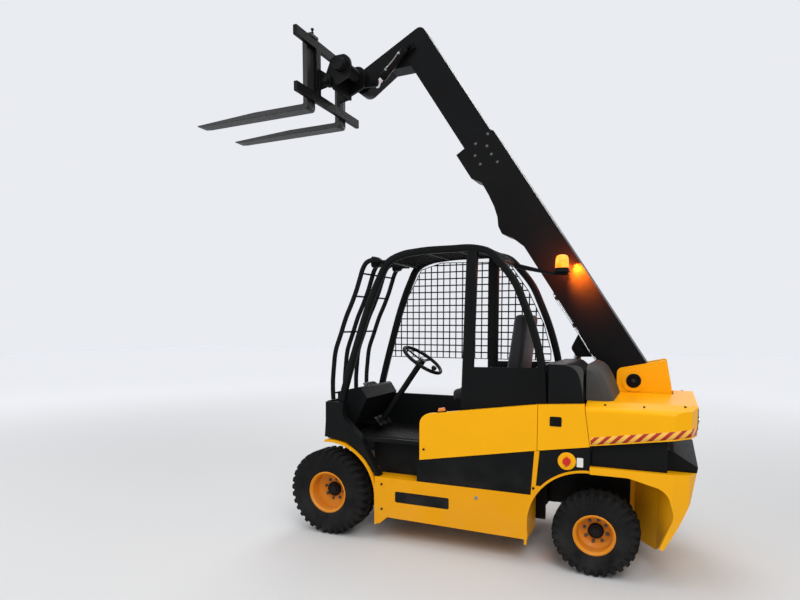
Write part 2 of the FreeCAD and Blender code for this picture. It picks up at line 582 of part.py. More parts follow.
def build_rear():
    """The counterweight round the rear arches, the black band over it, the hood and the boom bracket."""
    shell = prism("weight_shell", "side", [
        (along("seam_two_x - 20"), "weight_top"), (along("seam_two_x - 20"), "arch_roof_z"),
        (along("-2250"), "arch_roof_z", "120"), (along("-2485"), "635", "120"),
        (along("-2530"), "470", "100"),
        (along("-2448"), "weight_foot + 8"), (along("-2472"), "weight_foot"), (along("-2563"), "420", "150"),
        (along("-2620"), "560", "150"), (along("tail_x + 10"), "weight_top")], ("-body_half", "body_half"))
    middle = [block("weight_core", (along("-2560"), along("tail_x + 420 - seat_gap")),
                    ("-weight_core_half", "weight_core_half"), ("weight_low", "weight_top - 1"))]
    for side, sign in SIDES:
        middle.append(prism("weight_pocket_" + side, "top", [
            (along("-2560"), f"{sign} * (weight_core_half - 5)"),
            (along("-2560"), f"{sign} * (body_half - 10)"),
            (along("-2525"), f"{sign} * (body_half - 10)"), (along("-2430"), f"{sign} * 375"),
            (along("-2272"), f"{sign} * (weight_core_half - 5)")], ("weight_low", "arch_roof_z + 5")))
    undercut = prism("weight_undercut", "side", [
        (along("-2430"), "weight_low - 20"), (along("-2430"), "weight_low"), (along("-2472"), "weight_foot"),
        (along("-2563"), "420"), (along("-2640"), "420"), (along("-2640"), "weight_low - 20")],
        ("-700", "700"))
    weight = fuse("weight_cast", shell, cut("weight_middle", fuse("weight_block", *middle), undercut))
    corner = []
    for side, sign in SIDES:
        corner.append(prism("weight_corner_" + side, "top", [
            (along("tail_x - 20"), f"{sign} * (body_half + 20)"),
            (along("tail_x + 150"), f"{sign} * (body_half + 20)"),
            (along("tail_x + 150"), f"{sign} * body_half"), (along("tail_x + 55"),
            f"{sign} * (body_half - 42)"),
            (along("tail_x + 12"), f"{sign} * (body_half - 150)"),
            (along("tail_x - 20"), f"{sign} * (body_half - 150)")],
            ("0", "1300")))
    tow = rod("tow_pin_bore", "z", "17", ("300", "weight_top + 50"), along("tail_x + 75"))
    slot = block("tow_slot", (along("tail_x - 20"), along("tail_x + 120")), ("-70", "70"), ("500", "580"))
    node(cut("counterweight", weight, tow, slot, *corner), "counterweight")

    skin = "body_half - panel_wall - seat_gap"
    bay = ("boom_y - boom_width / 2 - bracket_gap - bracket_wall - 12",
           "boom_y + boom_width / 2 + bracket_gap + bracket_wall + 12")
    band = (f"{skin} - 54", skin)
    bands = [block("band_" + side, (along("-2480"), along("seam_two_x - 24")), across(sign, *band),
                   ("weight_top + seat_gap", "hood_base + 110")) for side, sign in SIDES]
    rear_band = block("band_rear", (along("-2480"), along("-2420")),
                      (f"-({skin})", skin),
                      ("weight_top + seat_gap", "hood_base + 110"))
    ledge = prism("rear_ledge", "side", [
        (along("-2479"), "weight_top + seat_gap"), (along("-2479"), "880"), (along("-2515"), "872"),
        (along("tail_x + 6"), "782"), (along("tail_x + 12"), "weight_top + seat_gap")], ("-500", "500"))
    room = block("band_channel", (along("-2505"), along("seam_two_x")), bay, ("weight_top - 50", "1400"))
    node(cut("rear_band", fuse("band_weld", *bands, rear_band, ledge), room), "rear_band")

    hood = prism("hood_block", "front", [
        ("-body_half", "hood_base - 16"), ("body_half", "hood_base - 16"),
        ("body_half", "hood_shoulder_z", "34"),
        ("body_half - hood_slope_run", "hood_top_z", "160"),
        ("-body_half + hood_slope_run", "hood_top_z", "160"),
        ("-body_half", "hood_shoulder_z", "34")], (along("tail_x + 20"), along("seam_two_x + 24")))
    inside = prism("hood_inside", "front", [
        ("-body_half + panel_wall", "hood_base - 40"), ("body_half - panel_wall", "hood_base - 40"),
        ("body_half - panel_wall", "hood_shoulder_z - 24"), ("body_half - hood_slope_run - 10", "hood_top_z - 22"),
        ("-body_half + hood_slope_run + 10", "hood_top_z - 22"),
        ("-body_half + panel_wall", "hood_shoulder_z - 24")],
        (along("tail_x + 60"), along("seam_two_x + 100")))
    lean = prism("hood_lean", "side", [
        (along("seam_two_x - 20"), "hood_base - 20"), (along("seam_two_x + 60"), "hood_base - 20"),
        (along("seam_two_x + 60"), "hood_top_z + 20"), (along("seam_two_x + 26"), "hood_top_z + 20")],
        ("-700", "700"))
    rise = prism("hood_rise", "side", [
        (along("seam_two_x + 30"), "hood_base - 50"), (along("tail_x - 30"), "hood_base - 50"),
        (along("tail_x - 30"), "hood_base + 94"), (along("seam_two_x + 30"), "hood_base - 16")],
        ("-700", "700"))
    channel = block("boom_channel", (along("-2505"), along("seam_two_x + 100")), bay,
            ("hood_base - 50", "1400"))
    node(cut("rear_hood", hood, inside, lean, rise, channel, *corner), "rear_hood")

    cheeks = []
    face = "boom_width / 2 + bracket_gap"
    for side, sign in SIDES:
        cheek = [(along("-2105"), "hood_base - 30"), (along("-2105"), "1352", "40"),
                 (along("-2450"), "1425", "20"),
                 (along("-2495"), "1190"), (along("-2495"), "weight_top + seat_gap"),
                 (along("-2180"), "weight_top + seat_gap")]
        span = [f"boom_y + {low}" for low in across(sign, face, f"{face} + bracket_wall")]
        cheeks.append(prism("bracket_cheek_" + side, "side", cheek, span))
        boss = [f"boom_y + {low}" for low in across(sign, f"{face} + 1", f"{face} + bracket_wall + 9")]
        cheeks.append(rod("bracket_boss_" + side, "y", "pivot_boss_radius", boss, along("pivot_x"),
                z="pivot_z"))
    spacer = block("bracket_back", (along("-2480"), along("-2462")),
                   (f"boom_y - ({face})", f"boom_y + {face}"), ("weight_top + seat_gap", "1255"))
    bracket = fuse("bracket_weld", *cheeks, spacer)
    bore = rod("bracket_bore", "y", "pivot_pin_radius + seat_gap", ("boom_y - 300", "boom_y + 300"),
               along("pivot_x"), z="pivot_z")
    node(cut("boom_bracket", bracket, bore), "boom_bracket")
    reach = f"{face} + bracket_wall + 14"
    node(rod("boom_pin", "y", "pivot_pin_radius", (f"boom_y - ({reach})", f"boom_y + {reach}"),
             along("pivot_x"), z="pivot_z"), "boom_pin")


# The boom's pivot in the frame
PIVOT = along("pivot_x")


def boom_frame(item):
    """Put a piece drawn along the boom, with the pivot at zero, at the angle of the photograph."""
    return place(item, PIVOT, "0", "pivot_z", "boom_angle")


def build_outer_boom():
    """The plate box of the outer section, open at its head, with deeper head plates and the lift lug."""
    half = "boom_width / 2"
    box = prism("outer_box", "side", [
        ("-boom_tail", "-boom_under + 60"), ("-boom_tail + 60", "-boom_under"), ("1360", "-boom_under"),
        ("1477", "-boom_under - 40"), ("1555", "-boom_under - 94", "30"), ("1628", "-boom_under - 86", "30"),
        ("1694", "-boom_under - 52"), ("1786", "-boom_under - 28"), ("1889", "-boom_under - 16"),
        ("2014", "-boom_under - 9"), ("2100", "-head_under"), ("boom_head", "-head_under"),
        ("boom_head", "boom_over - 28"), ("boom_head - 40", "boom_over"), ("-boom_tail + 60", "boom_over"),
        ("-boom_tail", "boom_over - 60")], (f"boom_y - {half}", f"boom_y + {half}"))
    hollow = block("outer_hollow", ("260", "boom_head + 50"),
                   (f"boom_y - {half} + boom_wall", f"boom_y + {half} - boom_wall"),
                   ("-boom_under + boom_wall", "boom_over - boom_wall"))
    mouth = block("outer_mouth", ("2110", "boom_head + 50"),
                  (f"boom_y - {half} + boom_wall", f"boom_y + {half} - boom_wall"),
                  ("-head_under - 50", "-boom_under + boom_wall + 1"))
    bore = rod("outer_bore", "y", "pivot_pin_radius + seat_gap", ("boom_y - 300", "boom_y + 300"))
    tube = cut("outer_tube", box, hollow, mouth, bore)
    ears = []
    for side, sign in SIDES:
        span = [f"boom_y + {low}" for low in across(sign, "eye_width / 2 + 3", "eye_width / 2 + 28")]
        ears.append(prism("lift_lug_" + side, "side", [
            ("lift_lug_u - 120", "-boom_under + 2"), ("lift_lug_u - 42", "lift_lug_v - 42", "38"),
            ("lift_lug_u + 42", "lift_lug_v - 42", "38"), ("lift_lug_u + 120", "-boom_under + 2")], span))
        head = [f"boom_y + {low}" for low in across(sign, "eye_width / 2 + 3", "eye_width / 2 + 40")]
        ears.append(rod("lift_pin_head_" + side, "y", "lift_pin_radius + 8", head, "lift_lug_u",
                z="lift_lug_v"))
    node(boom_frame(fuse("outer_boom", tube, *ears)), "outer_boom")

    inner_half = f"{half} - boom_wall"
    top = "boom_over - boom_wall"
    low = "-boom_under + boom_wall"
    reach = ("boom_head - 240", "boom_head - 20")
    pads = [
        block("pad_top", reach, ("boom_y - 50", "boom_y + 50"), (f"{top} - pad_gap + seat_gap", top)),
        block("pad_low", ("2040", "2109"), ("boom_y - 50", "boom_y + 50"),
        (low, f"{low} + pad_gap - seat_gap"))]
    for side, sign in SIDES:
        span = [f"boom_y + {edge}" for edge in across(sign, f"{inner_half} - pad_gap + seat_gap",
                inner_half)]
        pads.append(block("pad_side_" + side, reach, span, ("-60", "60")))
    node(boom_frame(together("boom_pads", *pads)), "boom_pads")


def build_inner_boom():
    """The inner section with its drop leg and the cross tube that carries the carriage at the middle."""
    half = "boom_width / 2 - boom_wall - pad_gap"
    top = "boom_over - boom_wall - pad_gap"
    low = "-boom_under + boom_wall + pad_gap"
    tube = block("inner_box", ("inner_tail + boom_out", "nose_u + boom_out - 150"),
                 (f"boom_y - ({half})", f"boom_y + {half}"), (low, top))
    hollow = block("inner_hollow", ("inner_tail + boom_out - 50", "nose_u + boom_out - 260"),
                   (f"boom_y - ({half}) + inner_wall", f"boom_y + {half} - inner_wall"),
                   (f"{low} + inner_wall", f"{top} - inner_wall"))
    section = cut("inner_section", tube, hollow)
    leg = prism("drop_leg", "side", [
        ("nose_u + boom_out - 260", top), ("nose_u + boom_out + 20", top, "60"),
        ("nose_u + boom_out + 92", "nose_v + 60"), ("nose_u + boom_out + 92", "nose_v - 92", "88"),
        ("nose_u + boom_out - 92", "nose_v - 92", "88"), ("nose_u + boom_out - 92", "-300"),
        ("nose_u + boom_out - 200", low)], ("boom_y - nose_width / 2", "boom_y + nose_width / 2"))
    cross = rod("cross_tube", "y", "nose_tube_radius", ("boom_y - nose_width / 2 - 12", "nose_tube_left"),
                "nose_u + boom_out", z="nose_v")
    arm = prism("level_arm", "side", [
        ("level_base_u - 40", "level_base_v - 40"), ("level_base_u + 30", "level_base_v - 40"),
        ("level_base_u + 30", "level_base_v + 40"), ("level_base_u - 40", "level_base_v + 40")],
        ("boom_y + nose_width / 2 - 4", "level_y - level_eye_width / 2 - 2"))
    pin = rod("level_base_pin", "y", "level_pin_radius", ("boom_y", "level_y + level_eye_width / 2 + 8"),
              "level_base_u", z="level_base_v")
    node(boom_frame(fuse("inner_boom", section, leg, cross, arm, pin)), "inner_boom")


# The carriage pin at rest
CARRIAGE_X = PIVOT + " + (nose_u + boom_out) * cos(boom_angle) - nose_v * sin(boom_angle)"
CARRIAGE_Z = "pivot_z + (nose_u + boom_out) * sin(boom_angle) + nose_v * cos(boom_angle)"


def carriage_frame(item):
    """Put a piece drawn round the carriage pin at that pin, level."""
    return place(item, CARRIAGE_X, "0", CARRIAGE_Z)


def build_tilt_frame():
    """The levelled frame that hangs on the cross tube and carries the fork carriage on its tilt pin."""
    ears = []
    for side, sign in SIDES:
        ears.append(prism("tilt_ear_" + side, "side", [
            ("-88", "-88", "80"), ("-88", "88", "80"), ("88", "88", "80"), ("tilt_pin_ahead + 34", "-60"),
            ("tilt_pin_ahead + 34", "-tilt_pin_down - 34", "30"),
            ("tilt_pin_ahead - 34", "-tilt_pin_down - 34", "30")],
            across(sign, "frame_half - ear_wall", "frame_half")))
    plate = block("tilt_plate", ("62", "86"), ("-frame_half + 4", "frame_half - 4"), ("-180", "70"))
    sleeve = rod("lever_sleeve", "y", "84", ("level_y + level_eye_width / 2 + 3", "-frame_half + 8"))
    lever = prism("level_lever", "side", [
        ("-lever_back - 30", "-lever_down - 30", "26"), ("-lever_back - 30", "-lever_down + 30", "26"),
        ("0", "78"), ("0", "-78")], ("level_y + level_eye_width / 2 + 3",
        "level_y + level_eye_width / 2 + 23"))
    tilt_pin = rod("tilt_pin", "y", "tilt_pin_radius", ("-frame_half - 42", "frame_half + 42"),
                   "tilt_pin_ahead", z="-tilt_pin_down")
    weld = fuse("tilt_weld", *ears, plate, sleeve, lever, tilt_pin)
    bore = rod("tilt_bore", "y", "nose_tube_radius + seat_gap", ("-400", "400"))
    node(carriage_frame(cut("tilt_frame", weld, bore)), "tilt_frame")


def build_carriage():
    """A class 3 fork carriage: two bars on two uprights whose ears turn on the tilt pin, and two forks."""
    front = "carriage_back + carriage_bar"
    base = "carriage_top - carriage_height"
    pieces = [
        block("bar_top", ("carriage_back", front), ("-carriage_half", "carriage_half"),
              ("carriage_top - bar_depth", "carriage_top")),
        block("bar_low", ("carriage_back", front), ("-carriage_half", "carriage_half"),
        (base, f"{base} + bar_depth"))]
    ears = []
    for side, sign in SIDES:
        pieces.append(block("upright_" + side, ("carriage_back", f"{front} - 6"),
                            across(sign, "frame_half + 6", "frame_half + 76"), (base, "carriage_top")))
        ears.append(prism("carriage_ear_" + side, "side", [
            ("tilt_pin_ahead - 36", "-tilt_pin_down - 36", "34"),
            ("tilt_pin_ahead - 36", "-tilt_pin_down + 36", "34"),
            ("carriage_back + 4", "-tilt_pin_down + 110"), ("carriage_back + 4", "-tilt_pin_down - 55")],
            across(sign, "frame_half + 6", "frame_half + 36")))
    weld = fuse("carriage_weld", *pieces, *ears)
    bore = rod("carriage_bore", "y", "tilt_pin_radius + seat_gap", ("-400", "400"),
               "tilt_pin_ahead", z="-tilt_pin_down")
    node(carriage_frame(cut("fork_carriage", weld, bore)), "fork_carriage")

    heel = f"{front} + seat_gap"
    forks = []
    for side, sign in SIDES:
        span = [f"{sign} * fork_spread + {edge}" for edge in ("(-fork_width / 2)", "fork_width / 2")]
        forks.append(prism("fork_body_" + side, "side", [
            (heel, "-fork_drop", "30"), (f"{heel} + fork_wall + fork_length - 60", "-fork_drop"),
            (f"{heel} + fork_wall + fork_length", "-fork_drop + 6"),
            (f"{heel} + fork_wall + fork_length", "-fork_drop + 14"),
            (f"{heel} + fork_wall + 500", "-fork_drop + fork_wall"),
            (f"{heel} + fork_wall", "-fork_drop + fork_wall", "12"),
            (f"{heel} + fork_wall", "carriage_top + 22"), (f"{heel} - 40", "carriage_top + 22"),
            (f"{heel} - 40", "carriage_top + seat_gap"), (heel, "carriage_top + seat_gap")], span))
    node(carriage_frame(together("forks", *forks)), "forks")


def build_cylinder(name, start, run, across_y, barrel_radius, bore_radius, rod_radius, barrel_end,
                   rod_length,
                   pin_radius, eye):
    """A cylinder from its barrel pin: start is that pin's x and z, run the x and z from it to the rod pin.

    The barrel's eye runs on its pin. The rod's eye is whole, and stands free between the ears of its lug."""
    length = f"sqrt(({run[0]})^2 + ({run[1]})^2)"
    pitch = f"atan2({run[1]}; {run[0]})"
    span = (f"{across_y} - {eye} / 2", f"{across_y} + {eye} / 2")
    outer = rod(name + "_outer", "x", barrel_radius, (f"{pin_radius} * 1.2", barrel_end), y=across_y)
    eye_ring = rod(name + "_eye", "y", f"{pin_radius} * 1.75", span)
    barrel = fuse(name + "_barrel_weld", outer, eye_ring)
    bore = rod(name + "_bore", "x", bore_radius, (f"{pin_radius} * 1.75 + 46", f"{barrel_end} - 30"),
            y=across_y)
    gland = rod(name + "_gland", "x", f"{rod_radius} + seat_gap",
                (f"{pin_radius} * 1.75 + 46", f"{barrel_end} + 20"),
                y=across_y)
    hole = rod(name + "_pin_bore", "y", f"{pin_radius} + seat_gap",
            (f"{across_y} - 100", f"{across_y} + 100"))
    slots = []
    for side, sign in SIDES:
        edge = [f"{across_y} + {low}" for low in across(sign, f"{eye} / 2", "200")]
        slots.append(block(f"{name}_eye_room_{side}", ("-200", f"{pin_radius} * 1.75 + 30"), edge,
                ("-200", "200")))
    barrel_cut = cut(name + "_barrel", barrel, bore, gland, hole, *slots)
    node(place(barrel_cut, start[0], "0", start[1], pitch), name + "_barrel")

    shaft = rod(name + "_shaft", "x", rod_radius, (f"{length} - {rod_length}", length),
                y=across_y)
    piston = rod(name + "_piston", "x", f"{bore_radius} - seat_gap",
                 (f"{length} - {rod_length}", f"{length} - {rod_length} + 30"), y=across_y)
    head = rod(name + "_head", "y", f"{pin_radius} * 1.75", span, length)
    rod_weld = fuse(name + "_rod_weld", shaft, piston, head)
    node(place(rod_weld, start[0], "0", start[1], pitch), name + "_rod")


def build_cylinders():
    """The lift cylinder under the boom and the levelling cylinder beside the drop leg."""
    lug_x = PIVOT + " + lift_lug_u * cos(boom_angle) - lift_lug_v * sin(boom_angle)"
    lug_z = "pivot_z + lift_lug_u * sin(boom_angle) + lift_lug_v * cos(boom_angle)"
    foot = along("lift_base_x")
    build_cylinder("lift", (foot, "lift_base_z"), (f"{lug_x} - ({foot})", f"{lug_z} - lift_base_z"),
                   "boom_y", "lift_barrel_radius", "lift_bore_radius", "lift_rod_radius", "lift_barrel_end",
                   "lift_rod_length", "lift_pin_radius", "eye_width")
    base_x = PIVOT + " + level_base_u * cos(boom_angle) - level_base_v * sin(boom_angle)"
    base_z = "pivot_z + level_base_u * sin(boom_angle) + level_base_v * cos(boom_angle)"
    build_cylinder("level", (base_x, base_z),
                   (f"{CARRIAGE_X} - lever_back - ({base_x})", f"{CARRIAGE_Z} - lever_down - ({base_z})"),
                   "level_y", "level_barrel_radius", "level_bore_radius", "level_rod_radius",
                   "level_barrel_end",
                   "level_rod_length", "level_pin_radius", "level_eye_width")


def build_cab():
    """The open cab: side frames, roof, tub, front bars and the wire mesh beside the boom."""
    outer = [("-60", "cab_belt_z"), ("-88", "1219"), ("-262", "1849"), ("-415", "2200"),
             ("-640", "roof_z - 12"),
             ("-820", "roof_z"), ("-1110", "roof_z + 2"), ("-1265", "roof_z - 24"), ("-1350", "2170"),
             ("-1480", "1994"), ("-1610", "1682"), ("-1690", "1405"), ("-1716", "cab_belt_z")]
    inner = [("-1664", "cab_belt_z"), ("-1638", "1410"), ("-1558", "1695"), ("-1428", "2000"),
             ("-1310", "2146"),
             ("-1245", "roof_z - 76"), ("-1105", "roof_z - 50"), ("-825", "roof_z - 52"),
             ("-655", "roof_z - 64"),
             ("-462", "2178"), ("-318", "1849"), ("-144", "1219"), ("-116", "cab_belt_z")]
    hoop = [(along(x), z) for x, z in outer + inner]
    pillar = [(along("pillar_b_x - pillar_b_width / 2"), "cab_belt_z"),
              (along("pillar_b_x + pillar_b_width / 2"), "cab_belt_z"),
              (along("pillar_b_x + pillar_b_width / 2"), "roof_z - 20"),
              (along("pillar_b_x - pillar_b_width / 2"), "roof_z - 20")]
    quarter = [(along("pillar_b_x - 10"), "cab_belt_z + 30"), (along("-1690"), "cab_belt_z + 100"),
               (along("-1664"), "1395"), (along("pillar_b_x - 10"), "1385")]
    for side, sign in SIDES:
        frame = fuse("side_weld_" + side, prism("hoop_" + side, "side", hoop, ("-cab_tube", "0")),
                     prism("pillar_" + side, "side", pillar, ("-cab_tube", "0")),
                     prism("quarter_" + side, "side", quarter, ("-cab_tube + 4", "-4")))
        if sign > 0:
            frame.Placement = FreeCAD.Placement(FreeCAD.Vector(),
                    FreeCAD.Rotation(FreeCAD.Vector(1, 0, 0), 1))
            tie(frame, "Placement.Rotation.Angle", "cab_lean")
            tie(frame, "Placement.Base.y", "(body_half - cab_inset) + cab_belt_z * sin(cab_lean)")
            tie(frame, "Placement.Base.z", "cab_belt_z * (1 - cos(cab_lean))")
        else:
            tie(frame, "Placement.Base.y", "cab_right_y + cab_tube")
        node(frame, "cab_side_" + side)

    inset = "(roof_z - cab_belt_z) * tan(cab_lean)"
    roof_left = f"(body_half - cab_inset) - {inset} - cab_tube - 4"
    roof = prism("roof_plate", "side", [
        (along("-430"), "2186"), (along("-640"), "roof_z - 18"), (along("-820"), "roof_z - 6"),
        (along("-1110"), "roof_z - 4"), (along("-1262"), "roof_z - 30"), (along("-1340"), "2160"),
        (along("-1312"), "2140"), (along("-1246"), "roof_z - 58"), (along("-1106"), "roof_z - 32"),
        (along("-822"), "roof_z - 34"), (along("-652"), "roof_z - 46"), (along("-456"), "2166")],
        ("cab_right_y + cab_tube + seat_gap", roof_left))
    gap = f"(({roof_left}) - cab_right_y - cab_tube - 8 * roof_bar) / 7"
    openings = []
    for row, (rear, front) in enumerate((("-1300", "-1021"), ("-999", "-751"), ("-729", "-470"))):
        for column in range(7):
            low = f"cab_right_y + cab_tube + roof_bar + {column} * ({gap} + roof_bar)"
            openings.append(block(f"roof_opening_{row}_{column}", (along(rear), along(front)),
                                  (low, f"{low} + {gap}"),
                                  ("roof_z - 200", "roof_z + 50")))
    node(cut("cab_roof", roof, *openings), "cab_roof")

    floor = block("floor_plate", (along("-1640"), along("-20")),
                  ("cab_right_y", "(body_half - cab_inset) - 20"),
                  ("floor_z - floor_wall", "floor_z"))
    cheeks = []
    left_top = "cab_belt_z - cab_tube * sin(cab_lean) - seat_gap"
    for side, low, high, top in (("left", "(body_half - cab_inset) - 45", "(body_half - cab_inset) + 25",
                                 left_top),
                                 ("right", "cab_right_y", "cab_right_y + 30", "cab_belt_z - seat_gap")):
        cheeks.append(prism("cowl_cheek_" + side, "side", [
            (along("52"), "786"), (along("42"), "910"), (along("40"), top), (along("-118"), top),
            (along("-112"), "960", "60"), (along("-280"), "floor_z - 8"), (along("-420"), "rail_top + 24"),
            (along("-440"), "rail_top + seat_gap"), (along("-408"), "rail_top + seat_gap"),
            (along("-300"), "650"), (along("-130"), "768")], (low, high)))
    cowl = block("cowl_front", (along("12"), along("40")), ("cab_right_y + 29",
                 "(body_half - cab_inset) - 4"),
                 ("floor_z - 30", "cab_belt_z"))
    toe = block("cowl_floor", (along("-21"), along("13")), ("cab_right_y", "(body_half - cab_inset) - 4"),
                ("floor_z - 30", "floor_z"))
    riser = block("step_riser", (along("doorway_rear_x + 2"), along("-330")), ("430", "450"),
                  ("rail_top + seat_gap", "floor_z - floor_wall + 1"))
    post = block("doorway_post", (along("doorway_rear_x - 24"), along("doorway_rear_x + 2")),
                 ("430", "body_half - panel_wall - 8 - seat_gap"), ("rail_top + seat_gap", "floor_z"))
    wall = block("cab_right_wall", (along("-1720"), along("-110")), ("cab_right_y", "cab_right_y + 30"),
                 ("floor_z - 1", "cab_belt_z - seat_gap"))
    back = block("cab_back_wall", (along("-1640"), along("-1610")),
                 ("cab_right_y", "(body_half - cab_inset) - 20"),
                 ("floor_z - 1", left_top))
    panel_left = "(body_half - cab_inset) - cab_tube - (cover_top_z - cab_belt_z) * tan(cab_lean) - 4"
    panel = block("cab_back_panel", (along("-1640"), along("-1610")),
                  ("cab_right_y + cab_tube + seat_gap", panel_left),
                  (f"{left_top} - 1", "cover_top_z - 30"))
    skin = "body_half - panel_wall - seat_gap"
    sills = [block("sill_foot", (along("-1640"), along("-1088")),
             ("(body_half - cab_inset) - 40", f"{skin} - 8"), ("floor_z - floor_wall", "floor_z + 31")),
             block("sill", (along("-1676"), along("-1088")), ("(body_half - cab_inset) - 40", skin),
             ("floor_z + 30", left_top)),
             block("sill_rear", (along("-1720"), along("-1675")), ("(body_half - cab_inset) - 40", skin),
             ("floor_z + 80", left_top))]
    weld = fuse("tub_weld", floor, *cheeks, cowl, toe, riser, post, wall, back, panel, *sills)
    room = rod("tub_wheel_room", "y", "fender_radius + lip_wall + seat_gap", ("-700", "700"), along("0"),
               z="front_tyre_radius")
    node(cut("cab_tub", weld, room), "cab_tub")

    front = [("40", "cab_belt_z + seat_gap"), ("44", "1210"), ("16", "1473"), ("-88", "1758"),
             ("-181", "1965"),
             ("-246", "2155"), ("-300", "2200"), ("-395", "2200")]
    back = [("-395", "2176"), ("-308", "2176"), ("-272", "2143"), ("-208", "1954"), ("-115", "1748"),
            ("-11", "1466"), ("17", "1207"), ("13", "cab_belt_z + seat_gap")]
    path = [(along(x), z) for x, z in front + back]
    bars = []
    pitch = "((body_half - cab_inset) - 84 - cab_right_y - 75) / (guard_count - 1)"
    for number in range(4):
        low = f"cab_right_y + 75 + {number} * {pitch}"
        bars.append(prism(f"guard_bar_{number}", "side", path, (low, f"{low} + guard_bar")))
    ties = []
    for number, (x, z) in enumerate((("34", "1120"), ("-46", "1621"), ("-164", "1907"), ("-230", "2084"))):
        ties.append(block(f"guard_tie_{number}", (along(f"{x} - 14"), along(f"{x}")),
                          ("cab_right_y + 60", "(body_half - cab_inset) - 62"), (z, f"{z} + 14")))
    ties.append(block("guard_tie_roof", (along("-430 + seat_gap"), along("-390")),
                      ("cab_right_y + cab_tube + 2", roof_left), ("2181", "2191")))
    node(fuse("front_guard", *bars, *ties), "front_guard")

    sheet = prism("mesh_sheet", "side", [
        (along("-170"), "1400"), (along("-330"), "1900"), (along("-470"), "2160"), (along("-660"), "2215"),
        (along("-1240"), "2200"), (along("-1410"), "1960"), (along("-1540"), "1690"),
        (along("-1600"), "1480"),
        (along("-1600"), "1400")], ("cab_right_y - seat_gap - mesh_wire", "cab_right_y - seat_gap"))
    clear = prism("mesh_clear", "side", [
        (along("-192"), "1416"), (along("-346"), "1892"), (along("-482"), "2144"), (along("-662"), "2198"),
        (along("-1230"), "2184"), (along("-1396"), "1952"), (along("-1525"), "1684"),
        (along("-1584"), "1478"),
        (along("-1584"), "1416")], ("cab_right_y - 20", "cab_right_y"))
    windows = []
    for column in range(11):
        for row in range(6):
            rear, low = f"-1584 + {column} * 127", f"1416 + {row} * 131"
            windows.append(block(f"mesh_window_{column}_{row}", (along(rear), along(f"{rear} + 112")),
                                 ("cab_right_y - 20", "cab_right_y"), (low, f"{low} + 116")))
    room = doc.addObject("Part::Common", "mesh_room")
    room.Base = clear
    room.Tool = together("mesh_windows", *windows)
    node(cut("mesh_guard", sheet, room), "mesh_guard")


def build_interior():
    """Seat on its base, dashboard with column and wheel."""
    half = "seat_width / 2"
    seat_y = "(body_half - cab_inset) * 0.8 - 257"
    node(block("seat_base", (along("seat_front_x - 440"), along("seat_front_x - 60")),
               (f"{seat_y} - {half} + 40", f"{seat_y} + {half} - 40"),
               ("floor_z + seat_gap", "seat_top_z - 110")),
         "seat_base")
    node(prism("seat_cushion", "side", [
        (along("seat_front_x - 480"), "seat_top_z - 110 + seat_gap", "20"),
        (along("seat_front_x"), "seat_top_z - 110 + seat_gap", "20"),
        (along("seat_front_x"), "seat_top_z", "30"), (along("seat_front_x - 480"), "seat_top_z - 20", "20")],
        (f"{seat_y} - {half}", f"{seat_y} + {half}")), "seat_cushion")
    node(prism("seat_back", "side", [
        (along("seat_front_x - 400"), "seat_top_z + 1", "20"),
        (along("seat_front_x - 480"), "seat_top_z + 560", "40"),
        (along("seat_front_x - 580"), "seat_top_z + 560", "40"),
        (along("seat_front_x - 505"), "seat_top_z - 60", "20"),
        (along("seat_front_x - 480 - seat_gap"), "seat_top_z - 60"),
        (along("seat_front_x - 480 - seat_gap"), "seat_top_z + 1")],
        (f"{seat_y} - {half} + 10", f"{seat_y} + {half} - 10")), "seat_back")
    dash = prism("dash_block", "side", [
        (along("11.7"), "floor_z + seat_gap"), (along("11.7"), "cab_belt_z + 60"),
        (along("-200"), "cab_belt_z + 110", "30"),
        (along("-260"), "cab_belt_z + 20"), (along("-110"), "floor_z + seat_gap")],
        ("cab_right_y + 60", "(body_half - cab_inset) - 120"))
    node(dash, "dashboard")
    rim = doc.addObject("Part::Torus", "wheel_rim")
    tie(rim, "Radius1", "steering_radius")
    rim.Radius2 = 14
    boss = rod("wheel_boss", "z", "30", ("-60", "4"))
    spokes = [block("wheel_spoke_across", ("-11", "11"), ("-steering_radius", "steering_radius"),
              ("-12", "-4")),
              block("wheel_spoke_down", ("-11", "steering_radius"), ("-11", "11"), ("-12", "-4"))]
    foot = "(steering_z - floor_z - seat_gap - 24 * sin(steering_rake)) / cos(steering_rake)"
    column = rod("wheel_column", "z", "24", (f"-{foot}", "-25"))
    wheel = fuse("steering_weld", rim, boss, *spokes, column)
    wheel.Placement = FreeCAD.Placement(FreeCAD.Vector(), FreeCAD.Rotation(FreeCAD.Vector(0, -1, 0), 1))
    tie(wheel, "Placement.Rotation.Angle", "steering_rake")
    node(place(wheel, along("steering_x"), seat_y, "steering_z"), "steering_wheel")


